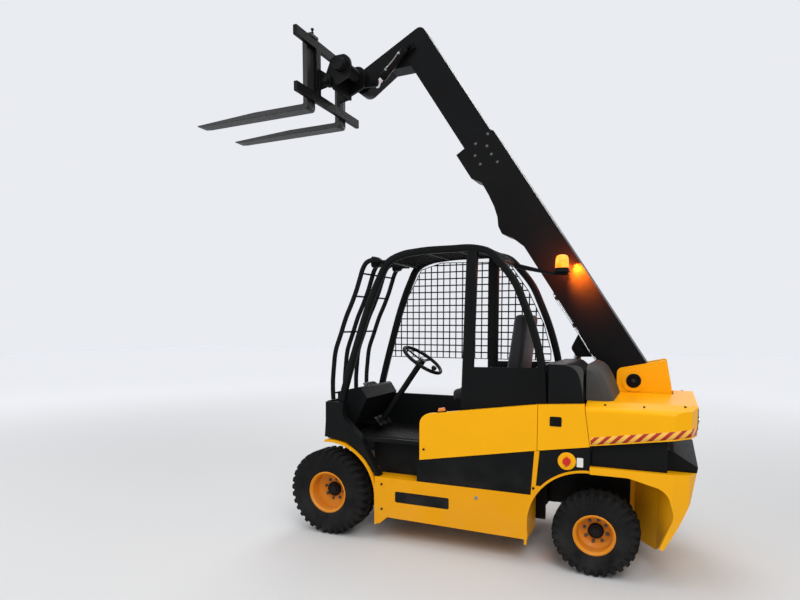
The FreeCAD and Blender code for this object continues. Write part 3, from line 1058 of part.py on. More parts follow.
def build_covers():
    """The black cover behind the cab, the grey intake cover beside it and the beacon on its bracket."""
    skin = "body_half - panel_wall - seat_gap"
    foot = block("cover_foot", (along("-1952"), along("-1722")), ("-140", f"{skin} - 8"),
            ("arch_roof_z - 2 + seat_gap", "901"))
    hood = prism("cover_hood", "side", [
        (along("-1722"), "900"), (along("-1952"), "900"),
        (along("-1950"), "1210"), (along("-1935"), "cover_top_z - 70", "60"),
        (along("-1850"), "cover_top_z", "60"),
        (along("-1722"), "cover_top_z")], ("-150", skin))
    node(fuse("engine_cover", foot, hood), "engine_cover")
    node(prism("intake_cover", "side", [
        (along("-1956"), "hood_top_z + seat_gap"), (along("-2135"), "hood_top_z + seat_gap"),
        (along("-2092"), "1275"), (along("-2030"), "1395", "70"), (along("-1956"), "cover_top_z")],
        ("-140", "460")), "intake_cover")
    mast = prism("beacon_arm", "side", [
        (along("-1340 - seat_gap"), "2130"), (along("-1340 - seat_gap"), "2170"),
        (along("beacon_x + 60"), "beacon_z"),
        (along("beacon_x - 50"), "beacon_z"), (along("beacon_x - 50"), "beacon_z - 22"),
        (along("beacon_x + 55"), "beacon_z - 22")], ("beacon_y - 22", "beacon_y + 22"))
    node(mast, "beacon_bracket")
    base = rod("beacon_base", "z", "beacon_radius - 4", ("beacon_z + seat_gap", "beacon_z + 34"),
            along("beacon_x"), "beacon_y")
    lens = rod("beacon_lens", "z", "beacon_radius - 10", ("beacon_z + 33", "beacon_z + 132"),
            along("beacon_x"), "beacon_y")
    node(fuse("beacon", base, lens), "beacon")


build_wheels()
build_axles()
build_chassis()
build_side_rails()
build_side_panels()
build_rear()
build_outer_boom()
build_inner_boom()
build_tilt_frame()
build_carriage()
build_cylinders()
build_cab()
build_interior()
build_covers()
doc.recompute()

faults = [item.Name for item in doc.Objects if "Invalid" in item.State or "Error" in item.State]
if faults:
    raise RuntimeError(f"objects that failed: {faults}")
for item in NODES:
    if item.Shape.isNull() or not item.Shape.isValid() or not item.Shape.Solids:
        raise RuntimeError(f"{item.Label} has no sound solid")

os.makedirs("parts", exist_ok=True)
whole = FreeCAD.BoundBox()
for item in NODES:
    item.Shape.exportStep(f"parts/{item.Label}.step")
    whole.add(item.Shape.BoundBox)
    print(item.Label, len(item.Shape.Solids), "solids", round(item.Shape.Volume / 1e6, 2), "litres")
print("nodes", len(NODES), "x", round(whole.XMin, 1), round(whole.XMax, 1), "y", round(whole.YMin, 1),
      round(whole.YMax, 1), "z", round(whole.ZMin, 1), round(whole.ZMax, 1))
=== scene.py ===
# %% [markdown]
# This scene dresses a compact telescopic handler: a forklift-sized carrier with its cab on the left and one
# telescopic boom on the right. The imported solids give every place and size. What the solids leave plain, such as
# tread, wire mesh, bolts, paint and seat covers, is worked out here with numpy and laid over them.

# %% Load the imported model
import json

import bmesh
import bpy
import numpy as np
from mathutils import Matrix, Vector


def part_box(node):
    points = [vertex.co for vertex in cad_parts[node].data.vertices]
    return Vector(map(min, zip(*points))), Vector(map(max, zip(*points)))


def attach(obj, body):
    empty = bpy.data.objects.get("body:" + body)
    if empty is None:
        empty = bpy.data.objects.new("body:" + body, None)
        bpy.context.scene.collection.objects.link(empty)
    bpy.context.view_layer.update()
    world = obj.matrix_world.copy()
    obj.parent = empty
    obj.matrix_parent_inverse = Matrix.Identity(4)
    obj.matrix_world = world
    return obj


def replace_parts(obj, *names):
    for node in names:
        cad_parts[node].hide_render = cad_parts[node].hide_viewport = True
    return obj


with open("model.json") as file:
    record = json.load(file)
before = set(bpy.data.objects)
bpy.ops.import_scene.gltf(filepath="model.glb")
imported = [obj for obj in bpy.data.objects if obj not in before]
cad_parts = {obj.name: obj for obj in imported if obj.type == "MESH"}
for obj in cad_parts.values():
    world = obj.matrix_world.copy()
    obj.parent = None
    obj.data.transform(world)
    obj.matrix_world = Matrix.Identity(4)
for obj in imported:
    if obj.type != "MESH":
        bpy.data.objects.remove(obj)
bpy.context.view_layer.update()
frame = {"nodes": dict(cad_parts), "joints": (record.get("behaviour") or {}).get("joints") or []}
nodes = frame["nodes"]

# %% [markdown]
# Sizes on such a machine are read in millimetres from the front axle. One helper turns them into the metres of the
# frame, and a second one does the same for places counted along the raised boom from its pivot.

# %% Places on the machine
SIDES = (("left", 1), ("right", -1))
BOOM_Y = -330


def middle_of(name):
    """The middle of a node's box."""
    return np.mean([list(corner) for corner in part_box(name)], axis=0)


AXLE, PIVOT = float(middle_of("front_axle")[0]), middle_of("boom_pin")
RAISED = next(joint["axis"] for joint in frame["joints"] if joint["name"] == "boom_extend")


def at(points):
    """Millimetres from the front axle, across and up: a thousandth of each, with the axle's place added to x."""
    return np.asarray(points, float) / 1000 + [AXLE, 0, 0]


def on_boom(points):
    """Millimetres along, across and over the boom: the pivot, plus u along its direction and v square to it."""
    along, across, over = (np.asarray(points, float) / 1000).T
    return np.stack([PIVOT[0] + along * RAISED[0] - over * RAISED[2], across,
                     PIVOT[2] + along * RAISED[2] + over * RAISED[0]], axis=-1)


print("front axle at x", round(AXLE, 3), "pivot", PIVOT.round(3))

# %% [markdown]
# The camera stands where the photographer stood, worked out from the outlines of the four wheels: about five metres
# off the rear left corner, at head height, looking slightly down. The picture is framed closer, so that the raised
# boom with its forks fills it. A lens shift does that without tilting the upright lines.

# %% Camera
YAW, PITCH = 0.4251, 0.0834
camera = bpy.data.objects.new("camera", bpy.data.cameras.new("camera"))
bpy.context.scene.collection.objects.link(camera)
camera.location = (AXLE - 2.4546, 4.6481, 1.7038)
camera.rotation_euler = (np.pi / 2 - PITCH, 0, np.pi + YAW)
camera.data.lens = 26.6
camera.data.shift_y = 0.090
bpy.context.scene.camera = camera

# %% [markdown]
# Materials, lamps and the world are small networks of nodes. These helpers start a material, place one node with its
# links, and give a noise value, a sum or a stretched range, so that a network reads like a formula.

# %% Helpers for networks of nodes


def put(tree, kind, links, **settings):
    """One node with its settings and its incoming links, given by socket."""
    item = tree.nodes.new(kind)
    for label, value in settings.items():
        setattr(item, label, value)
    for socket, source in links.items():
        if hasattr(source, "is_output"):
            tree.links.new(source, item.inputs[socket])
        else:
            item.inputs[socket].default_value = source
    return item


def noise(tree, vector, scale, detail):
    """The grey value of a fractal noise at one scale, as detail adds octaves."""
    item = put(tree, "ShaderNodeTexNoise", {"Vector": vector, "Scale": scale, "Detail": detail, "Roughness": 0.55})
    return item.outputs["Fac"]


def sums(tree, kind, first, second):
    """One sum of two values."""
    return put(tree, "ShaderNodeMath", {0: first, 1: second}, operation=kind).outputs[0]


def ranged(tree, value, low, high, start=0.0, end=1.0, **settings):
    """A value stretched so that low gives start and high gives end."""
    return put(tree, "ShaderNodeMapRange", {"Value": value, "From Min": low, "From Max": high, "To Min": start,
                                            "To Max": end}, **settings).outputs[0]


def mixed(tree, share, first, second):
    """Two colours mixed by a mask."""
    return put(tree, "ShaderNodeMix", {0: share, 6: first, 7: second}, data_type="RGBA").outputs[2]


def new_material(name, values):
    """A material, its network, its shader with the given plain values, and the object's own coordinates."""
    made = bpy.data.materials.new(name)
    made.use_nodes = True
    tree = made.node_tree
    shader = tree.nodes["Principled BSDF"]
    for label, value in values.items():
        shader.inputs[label].default_value = value
    return made, tree, shader, put(tree, "ShaderNodeTexCoord", {}).outputs["Object"]


def new_lamp(name, kind, place, watts, aim):
    """A lamp at a place, turned so that it shines along aim."""
    lamp = bpy.data.objects.new(name, bpy.data.lights.new(name, kind))
    lamp.location, lamp.data.energy = place, watts
    lamp.rotation_euler = (np.arctan2(np.hypot(aim[0], aim[1]), -aim[2]), 0, np.arctan2(aim[1], aim[0]) - np.pi / 2)
    bpy.context.scene.collection.objects.link(lamp)
    return lamp


# %% [markdown]
# The floor is a plain pale sheet. Large soft lamps stand high on both sides, as in a bright hall, and the world
# fills the shadows evenly. What the camera sees of the world, straight or in metal and glass, is brighter than the
# light it sheds, so the backdrop is pale. Far away the floor takes that tone too, which hides the horizon.

# %% Floor, lamps and world
PALE_SKY = (0.93, 0.95, 1.0, 1)


def seen_rays(tree):
    """One for rays that a picture is made of: the camera's own, and those in gloss and in glass."""
    path = tree.nodes.new("ShaderNodeLightPath")
    mirrored = sums(tree, "MAXIMUM", path.outputs["Is Glossy Ray"], path.outputs["Is Transmission Ray"])
    return sums(tree, "MAXIMUM", path.outputs["Is Camera Ray"], mirrored)


def floor_finish(name, colour, rough):
    """Plain colour, and a tone that the seen rays add: it grows from nothing near the machine to the far backdrop."""
    made, tree, shader, place = new_material(name, {"Base Color": (*colour, 1), "Roughness": rough,
                                                    "Specular IOR Level": 0.2, "Emission Color": PALE_SKY})
    away = put(tree, "ShaderNodeVectorMath", {0: place}, operation="LENGTH").outputs["Value"]
    far = ranged(tree, away, 2.5, 12.0, 0.0, 0.50, interpolation_type="SMOOTHSTEP")
    tree.links.new(sums(tree, "MULTIPLY", far, seen_rays(tree)), shader.inputs["Emission Strength"])
    return made


floor_mesh = bpy.data.meshes.new("floor")
floor_mesh.from_pydata([(-30, -30, 0), (30, -30, 0), (30, 30, 0), (-30, 30, 0)], [], [(0, 1, 2, 3)])
floor = bpy.data.objects.new("floor", floor_mesh)
floor_mesh.materials.append(floor_finish("pale_floor", (0.67, 0.67, 0.665), 0.6))
bpy.context.scene.collection.objects.link(floor)
LAMPS = [("key", (-3.5, 5.5, 6.0), 4.0, 275), ("fill", (5.0, 4.0, 4.5), 4.0, 118),
         ("back", (1.0, -6.0, 5.5), 4.0, 205), ("top", (-0.5, 0.5, 8.5), 5.0, 165)]
for name, place, size, watts in LAMPS:
    new_lamp("lamp_" + name, "AREA", place, watts, np.array([0, 0, 1.4]) - place).data.size = size
world = bpy.context.scene.world or bpy.data.worlds.new("world")
bpy.context.scene.world = world
world.use_nodes = True
sky = world.node_tree.nodes["Background"]
sky.inputs["Color"].default_value = PALE_SKY
world.node_tree.links.new(ranged(world.node_tree, seen_rays(world.node_tree), 0.0, 1.0, 0.46, 0.88),
                          sky.inputs["Strength"])
bpy.context.scene.view_settings.view_transform = "Standard"

# %% [markdown]
# Work machines carry the same few marks on every surface: a slight unevenness of the finish, dust that settles from
# the ground up, and fine rubbed scratches. Each mark is a shader group with named sockets, built once and placed in
# every material with values of its own.

# %% Shader groups


def new_group(name, inputs, outputs):
    """An empty shader group with float inputs (name, value), one vector input and float outputs."""
    group = bpy.data.node_groups.new(name, "ShaderNodeTree")
    group.interface.new_socket("Vector", in_out="INPUT", socket_type="NodeSocketVector")
    for label, value in inputs:
        group.interface.new_socket(label, in_out="INPUT", socket_type="NodeSocketFloat").default_value = value
    for label in outputs:
        group.interface.new_socket(label, in_out="OUTPUT", socket_type="NodeSocketFloat")
    return group, group.nodes.new("NodeGroupInput"), group.nodes.new("NodeGroupOutput")


uneven, into, out = new_group("uneven finish", [("Scale", 8.0)], ["Broad", "Fine"])
uneven.links.new(noise(uneven, into.outputs["Vector"], into.outputs["Scale"], 3.0), out.inputs["Broad"])
finer = sums(uneven, "MULTIPLY", into.outputs["Scale"], 14.0)
uneven.links.new(noise(uneven, into.outputs["Vector"], finer, 4.0), out.inputs["Fine"])

dusty, into, out = new_group("settled dust", [("Height", 0.9), ("Amount", 0.5)], ["Mask"])
height = put(dusty, "ShaderNodeSeparateXYZ", {0: into.outputs["Vector"]}).outputs["Z"]
fall = ranged(dusty, height, 0.0, into.outputs["Height"], 1.0, 0.0, interpolation_type="SMOOTHSTEP")
patches = ranged(dusty, noise(dusty, into.outputs["Vector"], 6.0, 5.0), 0.35, 0.7)
laid = sums(dusty, "MULTIPLY", fall, patches)
dusty.links.new(sums(dusty, "MULTIPLY", laid, into.outputs["Amount"]), out.inputs["Mask"])

rubbed, into, out = new_group("rubbed scratches", [("Scale", 18.0), ("Amount", 0.5)], ["Mask"])
stretched = put(rubbed, "ShaderNodeMapping", {"Vector": into.outputs["Vector"], "Scale": (1.0, 9.0, 9.0),
                                              "Rotation": (0.2, 0.5, 0.1)})
streaks = ranged(rubbed, noise(rubbed, stretched.outputs[0], into.outputs["Scale"], 6.0), 0.66, 0.74)
where = ranged(rubbed, noise(rubbed, into.outputs["Vector"], 2.5, 2.0), 0.48, 0.62)
both = sums(rubbed, "MULTIPLY", streaks, where)
rubbed.links.new(sums(rubbed, "MULTIPLY", both, into.outputs["Amount"]), out.inputs["Mask"])
print("shader groups", [group.name for group in bpy.data.node_groups])

# %% [markdown]
# A finish starts from its own colour, drifts a little lighter and darker, shows a paler tone where it is rubbed and
# takes dust near the ground. Roughness follows the same marks, and a bump as deep as the real grain breaks the
# reflections. The metal, coat and sheen values are plain numbers on the shader.

# %% Finishes
DUST = (0.34, 0.32, 0.29)


def finish(name, colour, rough, metal=0.0, coat=0.0, grain=(60.0, 0.0002), broad=3.0, drift=0.12, dust=0.3, top=0.9,
           scratch=0.25, worn=None, sheen=0.0, shine=0.5):
    """A material: its colour drifts by broad noise, is mixed with worn by scratches and with dust by height."""
    made, tree, shader, place = new_material(name, {
        "Metallic": metal, "Coat Weight": coat, "Coat Roughness": 0.12, "Specular IOR Level": shine,
        "Sheen Weight": sheen})
    spots = put(tree, "ShaderNodeGroup", {}, node_tree=uneven)
    low = put(tree, "ShaderNodeGroup", {}, node_tree=dusty)
    rub = put(tree, "ShaderNodeGroup", {}, node_tree=rubbed)
    for item, label, value in ((spots, "Scale", broad), (low, "Height", top), (low, "Amount", dust),
                               (rub, "Amount", scratch)):
        item.inputs[label].default_value = value
        tree.links.new(place, item.inputs["Vector"])
    dark = tuple(channel * (1 - drift) for channel in colour)
    light = tuple(min(1.0, channel * (1 + drift) + drift * 0.01) for channel in colour)
    base = mixed(tree, spots.outputs["Broad"], (*dark, 1), (*light, 1))
    bare = worn or tuple(min(1.0, channel * 1.5 + 0.03) for channel in colour)
    base = mixed(tree, rub.outputs["Mask"], base, (*bare, 1))
    base = mixed(tree, low.outputs["Mask"], base, (*DUST, 1))
    tree.links.new(base, shader.inputs["Base Color"])
    gloss = ranged(tree, spots.outputs["Fine"], 0.3, 0.7, max(0.02, rough - 0.07), min(1.0, rough + 0.07))
    dulled = sums(tree, "MULTIPLY", low.outputs["Mask"], 0.3)
    tree.links.new(sums(tree, "ADD", gloss, dulled), shader.inputs["Roughness"])
    bump = put(tree, "ShaderNodeBump", {"Height": noise(tree, place, grain[0], 3.0), "Distance": grain[1],
                                        "Strength": 1.0})
    tree.links.new(bump.outputs[0], shader.inputs["Normal"])
    return made


yellow = finish("machine yellow", (0.95, 0.435, 0.0006), 0.36, coat=0.10, grain=(420.0, 0.00006), drift=0.05,
                dust=0.05, top=0.75, scratch=0.06, worn=(0.93, 0.55, 0.06), shine=0.11)
rail_yellow = finish("rail yellow", (0.86, 0.365, 0.0006), 0.42, coat=0.06, grain=(420.0, 0.00006), drift=0.06,
                     dust=0.08, top=0.62, scratch=0.15, worn=(0.90, 0.52, 0.07), shine=0.12)
cast_yellow = finish("cast yellow", (0.93, 0.42, 0.0006), 0.46, coat=0.06, grain=(75.0, 0.0007), drift=0.06,
                     dust=0.15, top=0.75, scratch=0.12, worn=(0.90, 0.52, 0.09), shine=0.16)
rim_yellow = finish("rim yellow", (0.76, 0.26, 0.001), 0.46, coat=0.08, grain=(300.0, 0.0001), drift=0.12,
                    dust=0.16, top=0.75, scratch=0.3, worn=(0.60, 0.30, 0.07), shine=0.16)
black = finish("satin black", (0.0036, 0.0039, 0.0041), 0.42, coat=0.02, grain=(350.0, 0.0001), drift=0.25,
               dust=0.05, scratch=0.35, worn=(0.05, 0.05, 0.055), shine=0.06)
boom_black = finish("boom black", (0.0034, 0.0036, 0.0039), 0.40, coat=0.03, grain=(120.0, 0.00005), broad=2.0,
                    drift=0.3, dust=0.05, scratch=0.45, worn=(0.06, 0.06, 0.068), shine=0.06)
panel_black = finish("moulded black", (0.0040, 0.0046, 0.0049), 0.56, grain=(900.0, 0.00018), drift=0.2, dust=0.08,
                     scratch=0.2, worn=(0.03, 0.03, 0.03), shine=0.09)
panel_grey = finish("moulded grey", (0.050, 0.050, 0.047), 0.58, grain=(900.0, 0.00018), drift=0.12, dust=0.08,
                    scratch=0.15, shine=0.18)
rubber = finish("tyre rubber", (0.0066, 0.0067, 0.0072), 0.78, grain=(240.0, 0.0004), drift=0.25, dust=0.06, top=0.8,
                scratch=0.08, shine=0.09)
steel = finish("machined steel", (0.30, 0.30, 0.31), 0.38, metal=1.0, grain=(700.0, 0.00005), dust=0.1)
zinc = finish("dull zinc", (0.11, 0.11, 0.115), 0.50, metal=0.7, grain=(500.0, 0.0001), dust=0.1, shine=0.3)
chrome = finish("chromed rod", (0.66, 0.67, 0.69), 0.12, metal=1.0, grain=(900.0, 0.00001), drift=0.03, dust=0.03,
                scratch=0.08)
cast_grey = finish("cast housing", (0.020, 0.020, 0.022), 0.60, grain=(120.0, 0.0006), drift=0.3, dust=0.18, top=0.8,
                   shine=0.2)
pad_white = finish("slide pad", (0.62, 0.58, 0.48), 0.45, grain=(300.0, 0.0001), dust=0.05)
vinyl = finish("seat vinyl", (0.009, 0.009, 0.010), 0.52, grain=(520.0, 0.0005), drift=0.2, dust=0.0, scratch=0.12,
               sheen=0.1, shine=0.2)
fork_steel = finish("worn fork", (0.014, 0.014, 0.015), 0.44, coat=0.06, grain=(180.0, 0.0002), drift=0.3, dust=0.1,
                    scratch=0.9, worn=(0.26, 0.26, 0.27), shine=0.2)
hazard_red = finish("hazard red", (0.62, 0.022, 0.012), 0.30, coat=0.2, grain=(600.0, 0.00003), dust=0.1, shine=0.25)
plate_white = finish("bare plate", (0.78, 0.77, 0.74), 0.35, coat=0.2, grain=(600.0, 0.00003), dust=0.05)
print("finishes", len(bpy.data.materials))

# %% [markdown]
# A beacon lens is tinted plastic lit from inside, so it glows by emission. Two small lamps stand for the light that
# leaves it: a red one reaches the cab's rear frame, and an orange one skims down the boom's face beside it and fades
# out within 0.7 m, so that none of it reaches the floor.

# %% Lit and tinted plastics
amber, lens_tree, lens, lens_place = new_material("lit amber", {
    "Emission Strength": 1.5, "Base Color": (0.95, 0.30, 0.01, 1), "Roughness": 0.15})
hot = ranged(lens_tree, noise(lens_tree, lens_place, 28.0, 1.0), 0.3, 0.7)
lens_tree.links.new(mixed(lens_tree, hot, (1.0, 0.15, 0.0, 1), (1.0, 0.34, 0.02, 1)), lens.inputs["Emission Color"])
bulb = new_lamp("bulb", "POINT", (AXLE - 1.702, -0.085, 2.150), 13.0, (0, 0, -1))
bulb.data.color, bulb.data.shadow_soft_size = (1.0, 0.12, 0.01), 0.02
skim = new_lamp("skim", "SPOT", (AXLE - 1.757, -0.110, 2.165), 420.0, (-0.74 * RAISED[0], -0.67, -0.74 * RAISED[2]))
skim.data.color, skim.data.shadow_soft_size = (1.0, 0.15, 0.006), 0.015
skim.data.spot_size, skim.data.spot_blend = np.radians(84), 1.0
skim.data.use_nodes = True
skim_tree = skim.data.node_tree
gone = put(skim_tree, "ShaderNodeLightPath", {}).outputs["Ray Length"]
skim_tree.links.new(ranged(skim_tree, gone, 0.2, 0.7, 1.0, 0.0), skim_tree.nodes["Emission"].inputs["Strength"])
amber_dull = finish("amber marker", (0.80, 0.22, 0.008), 0.20, coat=0.5, grain=(500.0, 0.0001), dust=0.05)
lamp_red = finish("red lens", (0.50, 0.012, 0.010), 0.18, coat=0.6, grain=(500.0, 0.0002), dust=0.05)
lamp_clear = finish("lamp glass", (0.62, 0.64, 0.66), 0.08, metal=0.6, coat=0.8, grain=(200.0, 0.0003), dust=0.02)

# %% [markdown]
# The solids that already have the right shape only need their finish. A small bevel catches the light along their
# edges, as paint does on folded sheet and on castings.

# %% Dress the solids
DRESS = {
    yellow: "band_left band_right rear_hood boom_bracket", rail_yellow: "side_rail_left side_rail_right",
    cast_yellow: "counterweight", rim_yellow: "front_left_rim front_right_rim rear_left_rim rear_right_rim",
    panel_black: "lower_panels_left lower_panels_right rear_band cab_tub dashboard engine_cover steering_wheel "
                 "seat_base", panel_grey: "intake_cover",
    boom_black: "outer_boom inner_boom tilt_frame fork_carriage lift_barrel level_barrel",
    black: "chassis_frame cab_side_left cab_side_right cab_roof front_guard mesh_guard beacon_bracket",
    cast_grey: "front_axle rear_axle knuckle_left knuckle_right engine_block", steel: "boom_pin",
    chrome: "lift_rod level_rod", pad_white: "boom_pads", fork_steel: "forks", amber: "beacon",
    rubber: "front_left_tyre front_right_tyre rear_left_tyre rear_right_tyre", vinyl: "seat_cushion seat_back"}
BEVELS = {"band_left": 5, "band_right": 5, "rear_hood": 9, "boom_bracket": 4, "side_rail_left": 4,
          "side_rail_right": 4, "counterweight": 10, "lower_panels_left": 4, "lower_panels_right": 4,
          "rear_band": 6, "cab_tub": 5, "dashboard": 14, "engine_cover": 14, "intake_cover": 14, "outer_boom": 4,
          "inner_boom": 4, "tilt_frame": 3, "fork_carriage": 3, "forks": 3, "seat_base": 12, "beacon_bracket": 3}
for material, names in DRESS.items():
    for name in names.split():
        nodes[name].data.materials.clear()
        nodes[name].data.materials.append(material)
for name, width in BEVELS.items():
    weld = nodes[name].modifiers.new("weld", "WELD")
    weld.merge_threshold = 0.00002
    bevel = nodes[name].modifiers.new("bevel", "BEVEL")
    bevel.width, bevel.segments, bevel.angle_limit = width / 1000, 2, 0.6
    bevel.harden_normals = True
print("dressed", sum(len(names.split()) for names in DRESS.values()), "solids")

# %% [markdown]
# New pieces are grids of points: a profile carried along a path, a profile turned about an axle, or an outline with
# a thickness. These helpers work the points out as whole arrays, and one function turns arrays into an object that
# rides on its body.


def unit(vectors):
    """Vectors divided by their length."""
    return vectors / np.linalg.norm(vectors, axis=-1, keepdims=True)


def quads(rows, columns, wrap_rows=False, wrap_columns=False):
    """Faces of a grid: each joins a point, its neighbour in the next row and their neighbours in the next column."""
    row, column = np.meshgrid(np.arange(rows if wrap_rows else rows - 1),
                              np.arange(columns if wrap_columns else columns - 1), indexing="ij")
    below, beside = (row + 1) % rows, (column + 1) % columns
    corners = [row * columns + column, below * columns + column, below * columns + beside, row * columns + beside]
    return np.stack(corners, axis=-1).reshape(-1, 4).tolist()


def smooth(points, count):
    """A curve through points: cubics whose slopes are taken over the length of the steps on both sides."""
    points = np.asarray(points, float)
    length = np.concatenate([[0], np.cumsum(np.linalg.norm(np.diff(points, axis=0), axis=1))])
    slope = np.gradient(points, length, axis=0)
    spot = np.linspace(0, length[-1], count)
    first = np.clip(np.searchsorted(length, spot, side="right") - 1, 0, len(points) - 2)
    step = np.diff(length)[first][:, None]
    t = (spot - length[first])[:, None] / step
    return ((2 * t**3 - 3 * t**2 + 1) * points[first] + (t**3 - 2 * t**2 + t) * step * slope[first]
            + (3 * t**2 - 2 * t**3) * points[first + 1] + (t**3 - t**2) * step * slope[first + 1])


def ring(radius, count=12):
    """Points of a circle: radius times cosine and sine."""
    turn = np.arange(count) * 2 * np.pi / count
    return np.stack([radius * np.cos(turn), radius * np.sin(turn)], axis=-1)


def soft_box(width, depth, corner, count=4):
    """A rectangle with round corners: a small circle's quarters, each moved out to its corner."""
    turn = np.arange(4 * count) * 2 * np.pi / (4 * count) + np.pi / (4 * count)
    side = np.sign(np.stack([np.cos(turn), np.sin(turn)], axis=-1))
    quarter = (turn // (np.pi / 2)) * np.pi / 2 + (np.arange(4 * count) % count) / (count - 1) * np.pi / 2
    arc = np.stack([np.cos(quarter), np.sin(quarter)], axis=-1)
    return side * [width / 2 - corner, depth / 2 - corner] + corner * arc


def lofted(grid):
    """Rows of points joined into a skin that closes round each row, with its two ends capped."""
    rows, columns = grid.shape[:2]
    ends = [list(range(columns)), list(range((rows - 1) * columns, rows * columns))]
    return grid.reshape(-1, 3), quads(rows, columns, wrap_columns=True) + ends


def carried(path, profile, up=(0, 1, 0)):
    """A closed profile carried along a path: its first measure goes along up x direction, its second along up."""
    path = np.asarray(path, float)
    ahead = unit(np.gradient(path, axis=0))
    side = unit(np.cross(np.broadcast_to(up, ahead.shape), ahead))
    over = np.cross(ahead, side)
    return lofted(path[:, None] + profile[None, :, :1] * side[:, None] + profile[None, :, 1:] * over[:, None])


def turned(profile, centre, axis=(0, 1, 0), count=48):
    """A profile of radius and place along an axis, turned about it; the ends are closed where they meet no axis."""
    profile = np.asarray(profile, float)
    axis = unit(np.asarray(axis, float))
    first = unit(np.cross(axis, [0, 0, 1] if abs(axis[2]) < 0.9 else [1, 0, 0]))
    second = np.cross(axis, first)
    turn = np.arange(count) * 2 * np.pi / count
    spokes = np.cos(turn)[:, None] * first + np.sin(turn)[:, None] * second
    return lofted(np.asarray(centre) + profile[:, None, :1] * spokes[None] + profile[:, None, 1:] * axis)


def lathe(profile, place, axis, count, size=1.0):
    """A profile in millimetres turned about an axis at a place on the machine."""
    return turned(np.array(profile) * size / 1000, at(place), axis, count)


def slab(outline, lift):
    """An outline of points and the same outline moved by lift, joined round the edge."""
    outline = np.asarray(outline, float)
    count = len(outline)
    side = [[n, (n + 1) % count, (n + 1) % count + count, n + count] for n in range(count)]
    return np.concatenate([outline, outline + lift]), side + [list(range(count)), list(range(count, 2 * count))]


def plate(pairs, across, thick, place=at):
    """A flat piece from pairs of x and z: it starts at one place across and is thick millimetres wide."""
    return slab(place([(x, across, z) for x, z in pairs]), (0, thick / 1000, 0))


def block(low, high):
    """A block between two corners in millimetres."""
    (x0, y0, z0), (x1, y1, z1) = low, high
    return plate([(x0, z0), (x1, z0), (x1, z1), (x0, z1)], y0, y1 - y0)


def gathered(parts):
    """Several pieces' arrays put one after the other, with the faces' numbers moved on."""
    starts = np.cumsum([0] + [len(points) for points, faces in parts])
    faces = [[corner + int(start) for corner in face] for (points, own), start in zip(parts, starts) for face in own]
    return np.concatenate([points for points, own in parts]), faces


def stamped(pattern, places):
    """One small piece repeated at many places."""
    points, faces = pattern
    return gathered([(points + place, faces) for place in places])


def piece(name, shape, material, body="chassis", bevel=0.0, steps=2, smoothing=35):
    """An object from arrays: its faces are turned outwards, it takes its finish and rides on its body."""
    mesh = bpy.data.meshes.new(name)
    mesh.from_pydata(shape[0].tolist(), [], shape[1])
    work = bmesh.new()
    work.from_mesh(mesh)
    bmesh.ops.recalc_face_normals(work, faces=work.faces)
    work.to_mesh(mesh)
    work.free()
    mesh.materials.append(material)
    mesh.polygons.foreach_set("use_smooth", np.ones(len(mesh.polygons), bool))
    mesh.set_sharp_from_angle(angle=np.radians(smoothing))
    item = bpy.data.objects.new(name, mesh)
    bpy.context.scene.collection.objects.link(item)
    if bevel:
        edge = item.modifiers.new("bevel", "BEVEL")
        edge.width, edge.segments, edge.angle_limit = bevel, steps, 0.6
        edge.harden_normals = True
    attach(item, body)
    return item


# %% [markdown]
# An industrial tyre has a plain round sidewall, and blocks that start on the shoulder and run slantwise to the
# middle, left and right half a step apart. Each point lies between two surfaces, the casing and the outside of the
# blocks, by a mask that is 1 on a block and 0 in a groove. The mask is a wave round the tyre whose phase moves on
# with the distance from the middle, so the blocks lean.

# %% Tyres with tread


